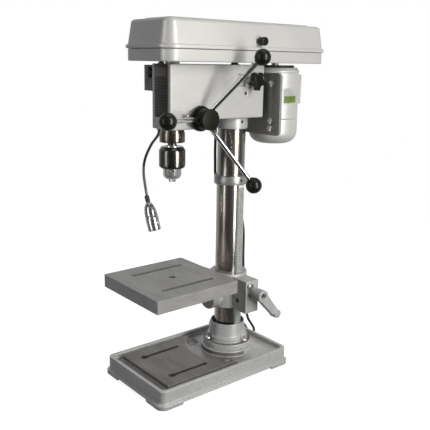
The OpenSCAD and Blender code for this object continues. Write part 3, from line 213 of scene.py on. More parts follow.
def wear_and_edge_highlight(material, edge_colour, hollow_colour):
    """Brings a finish to the edge colour along sharp edges, as rubbed wear and on the platform as a painted
    edge highlight, and to the hollow colour where the surface curves in.
    """
    edge = add_node(material, "NewGeometry").outputs["Pointiness"]
    breakup = noise(material, own_space(material), BREAKUP_SCALE, BREAKUP_DETAIL)
    sharp = spread(material, edge, 0, EDGE_MOST, EDGE_START, EDGE_FULL)
    rub_and_highlight = add_node(material, "Math", {0: sharp, 1: breakup}, operation="MULTIPLY").outputs[0]
    hollow = spread(material, edge, HOLLOW_MOST, 0, HOLLOW_FULL, HOLLOW_END)
    colour = mix_colour(material, rub_and_highlight, colour_of(material), edge_colour)
    return recoloured(material, mix_colour(material, hollow, colour, hollow_colour))


def speckled(material, scale, strength):
    """Darkens a finish in small specks, as on a casting that is painted over its sand skin."""
    specks = noise(material, own_space(material), scale, GRAIN_DETAIL)
    dark = spread(material, specks, strength, 0, SPECK_FULL, SPECK_END)
    return recoloured(material, mix_colour(material, dark, colour_of(material), SPECK_SHADE, "MULTIPLY"))


def darkened_to_front(material, dark, front, rear):
    """Darkens a finish towards the base's front, between two depths in millimetres."""
    depth = add_node(material, "SeparateXYZ", {"Vector": own_space(material)}).outputs["Y"]
    front_share = spread(material, depth, 1, 0, front * MM, rear * MM)
    return recoloured(material, mix_colour(material, front_share, colour_of(material), dark))


def grey(value, warm=0.0):
    return (value * (1 + warm), value, value * (1 - warm))


# Paints

silver = finish(
    "silver_paint", grey(0.45), grey(0.51, 0.01), rough=(0.36, 0.5), metallic=0.25,
    broad=12, grain=650, depth=0.03, coat=0.1,
)
wear_and_edge_highlight(speckled(silver, scale=300, strength=0.25), edge_colour=grey(0.6), hollow_colour=grey(0.22, 0.05))
head_silver = finish(
    "head_silver", grey(0.44, 0.01), grey(0.49, 0.01), rough=(0.36, 0.48), metallic=0.25,
    broad=10, grain=600, depth=0.015, coat=0.1,
)
wear_and_edge_highlight(speckled(head_silver, scale=500, strength=0.18), edge_colour=grey(0.6), hollow_colour=grey(0.25, 0.05))
sheet_silver = finish(
    "sheet_silver", grey(0.49, 0.01), grey(0.53, 0.015), rough=(0.4, 0.5), metallic=0.2,
    broad=8, grain=500, depth=0.01, coat=0.08,
)
speckled(sheet_silver, scale=600, strength=0.12)
deck_paint = finish(
    "deck_paint", grey(0.44, 0.01), grey(0.5, 0.01), rough=(0.22, 0.32), metallic=0.1,
    broad=14, grain=500, depth=0.02, coat=0.6,
)
darkened_to_front(speckled(deck_paint, scale=300, strength=0.25), dark=grey(0.19, 0.05), front=0, rear=60)
dark_paint = finish(
    "dark_paint", grey(0.22), grey(0.27), rough=(0.4, 0.52),
    broad=30, grain=700, depth=0.02, coat=0.1,
)
wear_and_edge_highlight(speckled(dark_paint, scale=400, strength=0.3), edge_colour=grey(0.2), hollow_colour=grey(0.03))
box_paint = finish(
    "box_paint", grey(0.11), grey(0.14), rough=(0.4, 0.55), metallic=0.1,
    broad=30, grain=700, depth=0.02,
)
wear_and_edge_highlight(speckled(box_paint, scale=400, strength=0.3), edge_colour=grey(0.26), hollow_colour=grey(0.05))

# Iron and steel

table_side = finish(
    "table_side", grey(0.33, 0.02), grey(0.4, 0.015), rough=(0.32, 0.46), metallic=0.35,
    broad=70, grain=900, depth=0.012, stretch=(0.3, 0.3, 1),
)
speckled(table_side, scale=260, strength=0.16)
table_iron = finish(
    "table_iron", grey(0.255, 0.02), grey(0.307, 0.015), rough=(0.45, 0.6), metallic=0.12,
    broad=45, grain=1300, depth=0.012, stretch=(0.3, 1, 1), shine=0.22,
)
speckled(table_iron, scale=260, strength=0.14)
# Ground iron for the base's platform; on the column flange's disc top it is a painted dark reflection.
ground_iron_and_painted_reflection = finish(
    "ground_iron_and_painted_reflection", grey(0.148, 0.06), grey(0.197, 0.04), rough=(0.42, 0.56), metallic=0.12,
    broad=40, grain=1300, depth=0.012, stretch=(0.3, 1, 1), shine=0.22,
)
# On the platform, the bright edge colour is a painted edge highlight.
wear_and_edge_highlight(speckled(ground_iron_and_painted_reflection, scale=240, strength=0.16), edge_colour=grey(0.6), hollow_colour=grey(0.12, 0.1))
# A dark grey finish that paints the shade in the table's slots and its centre hole.
painted_shade_grey = finish(
    "painted_shade_grey", grey(0.13, 0.04), grey(0.18, 0.03), rough=(0.5, 0.7), metallic=0.2,
    broad=80, grain=900, depth=0.03,
)
# A near-black finish that paints the shade in the base's slots and in the bevel round the column.
painted_shade_dark = finish(
    "painted_shade_dark", grey(0.05, 0.05), grey(0.09, 0.04), rough=(0.5, 0.7), metallic=0.3,
    broad=80, grain=900, depth=0.03,
)
column_steel = finish(
    "column_steel", grey(0.38, 0.09), grey(0.47, 0.08), rough=(0.18, 0.25), metallic=1.0,
    broad=90, grain=500, depth=0.003, stretch=(1, 1, 0.03),
)
quill_steel = finish(
    "quill_steel", grey(0.18, 0.16), grey(0.26, 0.14), rough=(0.18, 0.25), metallic=1.0,
    broad=120, grain=600, depth=0.003, stretch=(1, 1, 0.05),
)
bright_steel = finish(
    "bright_steel", grey(0.5, 0.03), grey(0.62, 0.02), rough=(0.22, 0.36), metallic=1.0,
    broad=120, grain=900, depth=0.008,
)
wear_and_edge_highlight(bright_steel, edge_colour=grey(0.8), hollow_colour=grey(0.25, 0.06))
ring_steel = finish(
    "ring_steel", grey(0.37, 0.01), grey(0.44, 0.01), rough=(0.3, 0.42), metallic=0.7,
    broad=60, grain=700, depth=0.01, stretch=(1, 1, 4),
)
rack_iron = finish(
    "rack_iron", (0.62, 0.655, 0.61), (0.7, 0.735, 0.69), rough=(0.4, 0.55), metallic=0.25,
    broad=60, grain=800, depth=0.02,
)
wear_and_edge_highlight(rack_iron, edge_colour=grey(0.62), hollow_colour=(0.16, 0.17, 0.145))
# A darker finish that paints the shade in the gaps between the rack's teeth.
rack_painted_shade = finish(
    "rack_painted_shade", (0.24, 0.26, 0.24), (0.3, 0.325, 0.3), rough=(0.5, 0.6), metallic=0.2,
    broad=60, grain=800, depth=0.02,
)
nickel = finish(
    "nickel", grey(0.72, 0.01), grey(0.8, 0.01), rough=(0.16, 0.24), metallic=1.0,
    broad=40, grain=300, depth=0.002,
)
chrome = finish(
    "chrome", grey(0.76), grey(0.82), rough=(0.07, 0.13), metallic=1.0,
    broad=40, grain=300, depth=0.002,
)
chuck_steel = finish(
    "chuck_steel", grey(0.12, 0.04), grey(0.19, 0.04), rough=(0.17, 0.25), metallic=1.0,
    broad=90, grain=700, depth=0.003, stretch=(1, 1, 0.1),
)
nose_steel = finish(
    "nose_steel", grey(0.78, 0.02), grey(0.88, 0.02), rough=(0.2, 0.3), metallic=0.88,
    broad=90, grain=500, depth=0.003, stretch=(1, 1, 0.1),
)
neck_steel = finish(
    "neck_steel", grey(0.1), grey(0.15), rough=(0.3, 0.4), metallic=0.9,
    broad=60, grain=700, depth=0.006,
)
pulley_alloy = finish(
    "pulley_alloy", grey(0.55), grey(0.65), rough=(0.28, 0.4), metallic=1.0,
    broad=60, grain=1200, depth=0.01, stretch=(0.2, 0.2, 1),
)

# Plastic, rubber, glass and labels

hub_black = finish(
    "hub_black", (0.007, 0.007, 0.004), (0.011, 0.011, 0.007), rough=(0.4, 0.5),
    broad=40, grain=900, depth=0.015, shine=0.16,
)
ball_black = finish(
    "ball_black", (0.006, 0.006, 0.005), (0.01, 0.01, 0.008), rough=(0.24, 0.34),
    broad=40, grain=300, depth=0.006, shine=0.3,
)
black_gloss = finish(
    "black_gloss", grey(0.006), grey(0.012), rough=(0.14, 0.22),
    broad=40, grain=260, depth=0.006, coat=0.3,
)
black_satin = finish(
    "black_satin", grey(0.012, 0.1), grey(0.02, 0.1), rough=(0.34, 0.46),
    broad=40, grain=900, depth=0.015,
)
wear_and_edge_highlight(black_satin, edge_colour=grey(0.05), hollow_colour=grey(0.01))
black_rubber = finish(
    "black_rubber", grey(0.012), grey(0.02), rough=(0.5, 0.65),
    broad=60, grain=1100, depth=0.03,
)
belt_rubber = finish(
    "belt_rubber", grey(0.02), grey(0.035), rough=(0.6, 0.75),
    broad=40, grain=1600, depth=0.05,
)
plate_brown = finish(
    "plate_brown", (0.028, 0.024, 0.021), (0.04, 0.034, 0.03), rough=(0.3, 0.42),
    broad=60, grain=700, depth=0.008,
)
plate_band = finish(
    "plate_band", (0.14, 0.09, 0.075), (0.18, 0.12, 0.1), rough=(0.35, 0.45),
    broad=90, grain=700, depth=0.006,
)
plate_line = finish(
    "plate_line", grey(0.13, 0.06), grey(0.17, 0.05), rough=(0.35, 0.45),
    broad=90, grain=700, depth=0.004,
)
warm_glass = finish(
    "warm_glass", (0.9, 0.84, 0.7), (0.95, 0.9, 0.8), rough=(0.12, 0.2),
    broad=30, grain=200, depth=0.004,
)
label_white = finish(
    "label_white", grey(0.66), grey(0.72), rough=(0.3, 0.4),
    broad=20, grain=600, depth=0.006,
)
label_ink = finish(
    "label_ink", (0.22, 0.32, 0.06), (0.27, 0.38, 0.08), rough=(0.35, 0.45),
    broad=40, grain=700, depth=0.004,
)


# Shapes

ON_AXIS = 1e-6
SOFT_STEPS = 4
SOFT_SHARE = 0.45
WELD = 0.002
CAST_SMOOTH = 0.5
FLAT_ANGLE = math.radians(0.5)
SHARP_ANGLE = math.radians(28)
EDGE_STEPS = 2
EDGE_PROFILE = 0.5

# Creases: faces that meet at a wider angle, in degrees, show an edge

CREASE = 40
NOTCH_CREASE = 35
SHEET_CREASE = 50
TUBE_CREASE = 60
CAST_CREASE = 70
NOSE_CREASE = 16


def skin(shape, rings, around):
    """Faces between rings of points; a ring of one point closes an end."""
    for low, high in zip(rings, rings[1:]):
        for k in range(around):
            n = (k + 1) % around
            corners = [low[k % len(low)], low[n % len(low)], high[n % len(high)], high[k % len(high)]]
            corners = list(dict.fromkeys(corners))
            if len(corners) > 2:
                shape.faces.new(corners)
    return shape


def lathe(profile, place, axis, around):
    """A body turned about an axis, from (radius, height) points in millimetres."""
    shape = bmesh.new()
    rings = []
    for radius, height in profile:
        count = around if radius > ON_AXIS else 1
        turns = [math.tau * k / around for k in range(count)]
        rings.append([shape.verts.new((radius * math.cos(t), radius * math.sin(t), height)) for t in turns])
    skin(shape, rings, around)
    turn = Vector(UP).rotation_difference(Vector(axis)).to_matrix().to_4x4()
    shape.transform(Matrix.Translation(mm(*place)) @ turn @ Matrix.Scale(MM, 4))
    return shape


def notched(profile, count, steps, cut, spot):
    """A turned body with notches: each of count parts of its round has steps, and its last ones are cut in.

    A row of the profile is a radius, a height and a depth of the cut, and spot gives a point its place."""
    shape = bmesh.new()
    around = count * steps
    rings = []
    for radius, height, depth in profile:
        ring = []
        for k in range(around):
            reach = radius - (depth if k % steps >= steps - cut else 0)
            angle = math.tau * k / around
            ring.append(shape.verts.new(spot(reach * math.cos(angle), reach * math.sin(angle), height)))
        rings.append(ring)
    return skin(shape, rings, around)


def soft(points, radius):
    """An open outline with its inner corners rounded."""
    rounded = [tuple(points[0])]
    for before, here, after in zip(points, points[1:], points[2:]):
        corner = Vector(here)
        back, ahead = Vector(before) - corner, Vector(after) - corner
        start = corner + back.normalized() * min(radius, back.length * SOFT_SHARE)
        end = corner + ahead.normalized() * min(radius, ahead.length * SOFT_SHARE)
        for k in range(SOFT_STEPS + 1):
            t = k / SOFT_STEPS
            rounded.append(tuple(start * (1 - t) ** 2 + corner * 2 * t * (1 - t) + end * t * t))
    rounded.append(tuple(points[-1]))
    return rounded


def together(*shapes):
    """One shape from several."""
    whole = bmesh.new()
    for shape in shapes:
        mesh = bpy.data.meshes.new("part")
        shape.to_mesh(mesh)
        shape.free()
        whole.from_mesh(mesh)
        bpy.data.meshes.remove(mesh)
    return whole


def layered(*groups):
    """One shape from groups of shapes; a group's number is the number of its finish."""
    for number, group in enumerate(groups):
        for shape in group:
            for face in shape.faces:
                face.material_index = number
    return together(*(shape for group in groups for shape in group))


def modified(shape, *modifiers):
    """The shape after modifiers, each a kind and its settings."""
    mesh = bpy.data.meshes.new("work")
    shape.to_mesh(mesh)
    shape.free()
    work = bpy.data.objects.new("work", mesh)
    scene.collection.objects.link(work)
    for kind, settings in modifiers:
        modifier = work.modifiers.new(kind.lower(), kind)
        for name, value in settings.items():
            setattr(modifier, name, value)
    made = bpy.data.meshes.new_from_object(work.evaluated_get(bpy.context.evaluated_depsgraph_get()))
    bpy.data.objects.remove(work)
    bpy.data.meshes.remove(mesh)
    result = bmesh.new()
    result.from_mesh(made)
    bpy.data.meshes.remove(made)
    return result


def from_cad(node):
    shape = bmesh.new()
    shape.from_mesh(cad[node].data)
    bmesh.ops.remove_doubles(shape, verts=shape.verts, dist=WELD * MM)
    return shape


def cast(node, voxel, passes):
    """A node's shape with the soft edges and corners of a casting."""
    return modified(
        from_cad(node),
        ("REMESH", {"mode": "VOXEL", "voxel_size": voxel * MM}),
        ("SMOOTH", {"factor": CAST_SMOOTH, "iterations": passes}),
    )


def round_edges(shape, edges, width, clamp):
    bmesh.ops.bevel(
        shape, geom=edges, offset=width * MM, offset_type="OFFSET", segments=EDGE_STEPS,
        profile=EDGE_PROFILE, affect="EDGES", clamp_overlap=clamp,
    )


def eased(node, width):
    """A node's shape with its sharp edges rounded by a small width."""
    shape = from_cad(node)
    bmesh.ops.dissolve_limit(
        shape, angle_limit=FLAT_ANGLE, verts=shape.verts, edges=shape.edges, delimit=set()
    )
    sharp = [e for e in shape.edges if len(e.link_faces) == 2 and e.calc_face_angle() > SHARP_ANGLE]
    round_edges(shape, sharp, width, True)
    return shape


def slab(low, high, width):
    """A thin block between two corners in millimetres, with its edges rounded."""
    shape = bmesh.new()
    bmesh.ops.create_cube(shape, size=1)
    size, centre = Vector(high) - Vector(low), (Vector(high) + Vector(low)) / 2
    shape.transform(Matrix.Translation(mm(*centre)) @ Matrix.Diagonal((*(size * MM), 1)))
    round_edges(shape, shape.edges[:], width, False)
    return shape


def smooth_route(points, steps):
    """Points along one smooth curve through the route."""
    places = [Vector(p) for p in points]
    last = len(places) - 1
    route = []
    for i in range(last):
        a, b, c, d = places[max(i - 1, 0)], places[i], places[i + 1], places[min(i + 2, last)]
        for k in range(steps):
            t = k / steps
            bend = (2 * a - 5 * b + 4 * c - d) * t**2 + (3 * b - a - 3 * c + d) * t**3
            route.append(0.5 * (2 * b + (c - a) * t + bend))
    return route + [places[last]]


TUBE_AROUND = 20
TUBE_SIDE = Vector((0, 1, 0.01))


def tube(path, radius, ribs=0.0):
    """A closed tube along a path; every second ring is smaller by the depth of the ribs."""
    shape = bmesh.new()
    rings = []
    turns = [math.tau * k / TUBE_AROUND for k in range(TUBE_AROUND)]
    for i, place in enumerate(path):
        ahead = (path[min(i + 1, len(path) - 1)] - path[max(i - 1, 0)]).normalized()
        side = ahead.cross(TUBE_SIDE).normalized()
        third = ahead.cross(side)
        reach = radius - (ribs if i % 2 else 0)
        spots = [place + reach * (math.cos(t) * side + math.sin(t) * third) for t in turns]
        rings.append([shape.verts.new(spot * MM) for spot in spots])
    skin(shape, rings, TUBE_AROUND)
    shape.faces.new(rings[0])
    shape.faces.new(rings[-1])
    return shape


def add_piece(name, shape, body, finishes, stands_for=(), crease=CREASE, choose=None):
    """Makes a piece that rides on a body. choose gives the number of the finish for a face."""
    bmesh.ops.recalc_face_normals(shape, faces=shape.faces)
    mesh = bpy.data.meshes.new(name)
    if choose:
        for face in shape.faces:
            face.material_index = choose(face)
    shape.to_mesh(mesh)
    shape.free()
    mesh.shade_smooth()
    mesh.set_sharp_from_angle(angle=math.radians(crease))
    for material in finishes:
        mesh.materials.append(material)
    piece = bpy.data.objects.new(name, mesh)
    scene.collection.objects.link(piece)
    if body:
        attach(piece, body)
    if stands_for:
        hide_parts(*stands_for)
    return piece


def dress(finish_of):
    """Gives CAD nodes that keep their shape a finish."""
    for node, material in finish_of.items():
        mesh = cad[node].data
        mesh.materials.clear()
        mesh.materials.append(material)


# Cord, first: a free stretch behind the column, then a coil on the bench and the plug

CORD_D = 6
CORD_ROUTE = [
    (-42, 40, 530), (-42, 40, 505), (-43, 41, 460), (-43, 46, 410), (-36, 72, 370), (-18, 94, 340),
    (-8, 99, 300), (-7, 100, 240), (-8, 104, 180), (-10, 112, 120), (-14, 126, 76), (-20, 143, 54),
    (-28, 160, 34), (-42, 174, 14), (-62, 182, 4.2), (-86, 192, 3.2), (-108, 204, 3.2), (-128, 210, 3.2),
    (-134, 210, 3.2), (-140, 210, 3.2),
]
CORD_STEPS = 8
CORD_FLOOR = 3.2
CORD_ROUND = 4
COIL_D = 66
COIL_TURNS = 2.25
COIL_STEP = CORD_D + 1.6
COIL_LAYER = CORD_D + 0.9
COIL_TAIL = 4 * CORD_D
TAIL_STEPS = 4
COIL_RINGS = 36
COIL_OUTER = COIL_D / 2 + COIL_STEP * COIL_TURNS / 2
COIL_CENTRE = Vector((-146, 210 - COIL_OUTER, CORD_FLOOR))
FULL_TURN, HALF_TURN, QUARTER_TURN = 360, 180, 90


def coil_place(turned):
    """A point of the coil: inward on the lower layer, up in half a turn, outward on the upper layer."""
    span = COIL_TURNS * FULL_TURN
    inner = COIL_OUTER - COIL_STEP * COIL_TURNS
    if turned < span:
        radius, rise = COIL_OUTER - COIL_STEP * turned / FULL_TURN, 0
    elif turned < span + HALF_TURN:
        radius, rise = inner, (1 - math.cos(math.radians(turned - span))) / 2
    else:
        radius, rise = inner + COIL_STEP * (turned - span - HALF_TURN) / FULL_TURN, 1
    angle = math.radians(QUARTER_TURN + turned)
    return COIL_CENTRE + Vector((radius * math.cos(angle), radius * math.sin(angle), rise * COIL_LAYER))


coil_end = 2 * COIL_TURNS * FULL_TURN + HALF_TURN
coil_rings = int(coil_end / FULL_TURN * COIL_RINGS) + 1
coil = [coil_place(FULL_TURN * k / COIL_RINGS) for k in range(coil_rings)]
coil_exit = coil[-1] - coil[-2]
coil_exit.z = 0
coil_exit.normalize()
plug_start = coil[-1] + COIL_TAIL * coil_exit
cord_path = smooth_route(CORD_ROUTE, CORD_STEPS) + coil[1:]
cord_path += [coil[-1] + COIL_TAIL * (k + 1) / TAIL_STEPS * coil_exit for k in range(TAIL_STEPS)]


def add_cord():
    """The mains cord as one curve, with its plug."""
    curve = bpy.data.curves.new("mains_cord", "CURVE")
    curve.dimensions = "3D"
    curve.bevel_depth = CORD_D / 2 * MM
    curve.bevel_resolution = CORD_ROUND
    curve.use_fill_caps = True
    spline = curve.splines.new("POLY")
    spline.points.add(len(cord_path) - 1)
    for point, place in zip(spline.points, cord_path):
        point.co = (*(place * MM), 1)
    spline.use_smooth = True
    curve.materials.append(black_rubber)
    cord = bpy.data.objects.new("mains_cord", curve)
    scene.collection.objects.link(cord)
    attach(cord, "frame")
    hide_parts("power_cord", "cord_coil")
    add_plug()


GRIP_FOOT, GRIP_END, GRIP_R = 26, 58, 10
RIBS, RIB_STEP, RIB_R, RIB_GROWTH, RIB_CUT = 6, 3.6, 3.6, 0.4, 0.8
PRONG_R, PRONG_L, PRONG_REACH, PRONG_SOFT = 2.4, 19, 6, 1.2


def add_plug():
    """A moulded plug: ribbed strain relief, waisted grip and two round prongs."""
    ribs = [(0, 0), (CORD_D / 2 + 0.4, 0)]
    for k in range(RIBS):
        z = 2 + RIB_STEP * k
        r = RIB_R + RIB_GROWTH * k
        ribs += [(r, z), (r, z + 2.4), (r - RIB_CUT, z + 2.6), (r - RIB_CUT, z + 3.4)]
    grip = [
        (6.5, GRIP_FOOT), (GRIP_R - 1, GRIP_FOOT + 2), (GRIP_R, GRIP_FOOT + 6),
        (GRIP_R - 1.2, GRIP_FOOT + 15), (GRIP_R, GRIP_FOOT + 24), (GRIP_R, GRIP_END - 2),
        (GRIP_R - 1.5, GRIP_END), (0, GRIP_END),
    ]
    body = lathe(ribs + soft(grip, radius=2), plug_start, coil_exit, around=40)
    side = Vector((-coil_exit.y, coil_exit.x, 0)) * PRONG_REACH
    foot = plug_start + coil_exit * (GRIP_END - 1)
    outline = soft([(0, 0), (PRONG_R, 0), (PRONG_R, PRONG_L), (0, PRONG_L + 1)], PRONG_SOFT)
    prongs = [lathe(outline, root, coil_exit, around=24) for root in (foot - side, foot + side)]
    finishes = [black_rubber, bright_steel]
    return add_piece("mains_plug", layered([body], prongs), "frame", finishes, ["plug"])


add_camera()
add_cord()


# Belt cover

tray_low, tray_high = box_mm("belt_tray")
COVER_W = tray_high.x - tray_low.x
COVER_L = tray_high.y - tray_low.y
COVER_MID = (tray_high.y + tray_low.y) / 2
TRAY_Z = tray_low.z
SEAM_Z = tray_high.z
LID_TOP = box_mm("belt_lid")[1].z
COVER_CORNER, TIGHT_CORNER = 27, 10
CORNER_STEPS = 10
SHEET = 1.6
LID_DRAFT = 7
LID_LEAN = 6.51
LID_LIP = 4
LIP_H = 7
LID_SOFT = 1.4
LID_INNER_SOFT = 5
SHOULDER_R = 8
SHOULDER_STEPS = 8
PANEL_H = 3
PANEL_FOOT, PANEL_EDGE, PANEL_FLAT = -27, -30, -34
TRAY_SOFT, TRAY_INNER_SOFT = 3, 2
TRAY_FLOOR = -30
TRAY_GAP, TRAY_EDGE = 1.2, 0.6
HINGE_R = 4
HINGE_PIN = 2.2
HINGE_L = 44
HINGE_REACH = 110
HINGE_X = -(COVER_W / 2 + LID_LIP + HINGE_R + 0.3)


def cover_ring(shape, grow, height):
    """A rounded rectangle round the cover's outline, grown by so much."""
    half_w, half_l = COVER_W / 2 + grow, COVER_L / 2 + grow
    corner = max(COVER_CORNER + grow, TIGHT_CORNER)
    ring = []
    for quarter, (sx, sy) in enumerate(((1, 1), (-1, 1), (-1, -1), (1, -1))):
        for k in range(CORNER_STEPS + 1):
            angle = math.radians(QUARTER_TURN * (quarter + k / CORNER_STEPS))
            x = sx * (half_w - corner) + corner * math.cos(angle)
            y = sy * (half_l - corner) + corner * math.sin(angle)
            ring.append(shape.verts.new(mm(x, COVER_MID + y, height)))
    return ring


def cover_shell(outer, inner):
    """A thin shell from two (grow, height) profiles that meet at the rim, each closed at its far end."""
    shape = bmesh.new()
    rings = [cover_ring(shape, *point) for point in list(reversed(inner)) + outer]
    skin(shape, rings, len(rings[0]))
    shape.faces.new(rings[0])
    shape.faces.new(rings[-1])
    return shape


def add_lid():
    """The hinged lid: rolled lip, leaning walls, round shoulders and a raised panel."""
    top = LID_TOP - PANEL_H
    wall_foot = SEAM_Z + LIP_H
    shoulder = top - SHOULDER_R
    wall = [
        (-SHEET, SEAM_Z), (LID_LIP, SEAM_Z), (LID_LIP, wall_foot), (0, wall_foot), (-LID_LEAN, shoulder),
    ]
    turns = [math.radians(QUARTER_TURN * k / SHOULDER_STEPS) for k in range(1, SHOULDER_STEPS)]
    round_over = [
        (-LID_LEAN - SHOULDER_R * (1 - math.cos(turn)), shoulder + SHOULDER_R * math.sin(turn))
        for turn in turns
    ]
    panel = [(-LID_LEAN - SHOULDER_R, top), (PANEL_FOOT, top), (PANEL_EDGE, LID_TOP), (PANEL_FLAT, LID_TOP)]
    outer = soft(wall, LID_SOFT) + round_over + soft(panel, LID_SOFT)
    inner = [
        (-SHEET, SEAM_Z), (-LID_DRAFT - SHEET, shoulder - 1), (-LID_DRAFT - 6, top - SHEET),
        (PANEL_EDGE, top - SHEET),
    ]
    shells = [cover_shell(outer, soft(inner, LID_INNER_SOFT))]
    knuckle_l = HINGE_L / 3
    knuckle = [
        (HINGE_PIN, 0), (HINGE_R, 0), (HINGE_R, knuckle_l), (HINGE_PIN, knuckle_l), (HINGE_PIN, 0),
    ]
    for reach in (-HINGE_REACH, HINGE_REACH):
        place = (HINGE_X, COVER_MID + reach - knuckle_l / 2, SEAM_Z)
        shells.append(lathe(knuckle, place, REAR, around=32))
    lid = together(*shells)
    add_piece("lid_shell", lid, "belt_lid", [sheet_silver], ["belt_lid"], SHEET_CREASE)


def add_tray():
    """The tray that the lid closes on, with a round lower edge."""
    rim = SEAM_Z - TRAY_GAP
    outer = [(-SHEET / 2, SEAM_Z - TRAY_EDGE), (0, rim), (0, TRAY_Z), (TRAY_FLOOR, TRAY_Z)]
    inner = [(-SHEET, rim), (-SHEET, TRAY_Z + SHEET), (TRAY_FLOOR, TRAY_Z + SHEET)]
    shape = cover_shell(list(reversed(soft(outer, TRAY_SOFT))), soft(inner, TRAY_INNER_SOFT))
    add_piece("tray_shell", shape, "frame", [sheet_silver], ["belt_tray"], SHEET_CREASE)


add_lid()
add_tray()


# Castings: the size of a voxel in millimetres, the passes that smooth it, and the finish

CASTINGS = {
    "head_casting": (1.2, 5, head_silver),
    "table_bracket": (1.0, 4, silver),
    "table_crank": (0.8, 4, silver),
    "motor_body": (1.2, 3, sheet_silver),
    "motor_bells": (1.2, 4, sheet_silver),
    "capacitor_box": (0.8, 5, sheet_silver),
}

for node, (voxel, passes, material) in CASTINGS.items():
    shape = cast(node, voxel, passes)
    add_piece(node + "_cast", shape, body_of[node], [material], [node], CAST_CREASE)

COLUMN_Y, COLUMN_R = 50, 30
NECK_RIM = 36.4
NECK_HOLLOW = 9
DISC_DROP = 30
flange_high = box_mm("column_flange")[1].z

# How far a face looks up, from 0 for a wall to 1 for a floor

LEANS_UP, LOOKS_UP, STEEP, LEVEL = 0.1, 0.6, 0.7, 0.9


def flange_finish(face):
    """Painted shade in the bevel round the column, and a painted dark reflection on the flat of the disc.
    """
    place = face.calc_center_median() / MM
    reach = math.hypot(place.x, place.y - COLUMN_Y)
    # The bevel round the column gets painted shade.
    if place.z > flange_high - NECK_HOLLOW and reach < NECK_RIM and face.normal.z > LEANS_UP:
        return 1
    # The flat of the disc gets the platform's ground iron as a painted dark reflection.
    return 2 if face.normal.z > LEVEL and place.z < flange_high - DISC_DROP else 0


add_piece(
    "column_flange_cast", cast("column_flange", voxel=1.0, passes=3), "frame",
    [silver, painted_shade_dark, ground_iron_and_painted_reflection], ["column_flange"], CAST_CREASE, flange_finish,
)

PLATFORM_Z = 36.4
PLATFORM_X, PLATFORM_FRONT, PLATFORM_REAR = 88, -186, 50
DECK_Z = 28
SPINDLE_Y = -106
TABLE_SLOT_X, TABLE_SLOT_L = 56, 130
BASE_SLOT_X, BASE_SLOT_Y, BASE_SLOT_L, BASE_SLOT_LOW = 52, -101, 100, 20
SLOT_REACH = 9


def in_slot(place, slot_x, slot_y, slot_l):
    """Whether a place in millimetres is on the wall of one of two slots."""
    return abs(abs(place.x) - slot_x) < SLOT_REACH and abs(place.y - slot_y) < slot_l / 2 + SLOT_REACH


def base_finish(face):
    """Ground iron on the platform, painted shade on the slots' walls, deck paint that darkens towards the
    front on the deck, and silver elsewhere.
    """
    place = face.calc_center_median() / MM
    slotted = place.z > BASE_SLOT_LOW and in_slot(place, BASE_SLOT_X, BASE_SLOT_Y, BASE_SLOT_L)
    # The slots' walls get painted shade.
    if slotted and face.normal.z < STEEP:
        return 2
    if face.normal.z > LEVEL and abs(place.z - DECK_Z) < 1:
        return 3
    raised = DECK_Z + 2 < place.z < PLATFORM_Z + 1.5
    return int(raised and abs(place.x) < PLATFORM_X and PLATFORM_FRONT < place.y < PLATFORM_REAR)


def table_finish(face):
    """Ground iron on top, painted shade in the slots and the hole, and plain iron on the sides."""
    place = face.calc_center_median() / MM
    hole = math.hypot(place.x, place.y - SPINDLE_Y) < SLOT_REACH
    if face.normal.z > LOOKS_UP:
        return 0
    # The slots and the hole get painted shade.
    return 1 if hole or in_slot(place, TABLE_SLOT_X, SPINDLE_Y, TABLE_SLOT_L) else 2


add_piece(
    "base_cast", cast("base", voxel=1.3, passes=3), "frame",
    [silver, ground_iron_and_painted_reflection, painted_shade_dark, deck_paint], ["base"], CAST_CREASE, base_finish,
)
add_piece(
    "table_cast", cast("table", voxel=1.0, passes=2), "table",
    [table_iron, painted_shade_grey, table_side], ["table"], CAST_CREASE, table_finish,
)


# Turned pieces

column_low, column_high = (corner.z for corner in box_mm("column"))
column_outline = [(0, column_low), (COLUMN_R, column_low), (COLUMN_R, column_high), (0, column_high)]
column = lathe(soft(column_outline, radius=1), (0, COLUMN_Y, 0), UP, around=128)
add_piece("column_tube", column, "frame", [column_steel], ["column"])

SLEEVE_R = 26.5
SLEEVE_BORE = 18.7
SLEEVE_ROOM = 23
SLEEVE_LIP = 5
SLEEVE_TEETH = 60
TOOTH_STEPS, TOOTH_CUT = 4, 2
TOOTH_TIP, TOOTH_DEPTH = 0.9, 1.5
GROOVE = 0.8
sleeve_low, sleeve_high = (corner.z for corner in box_mm("chuck_sleeve"))


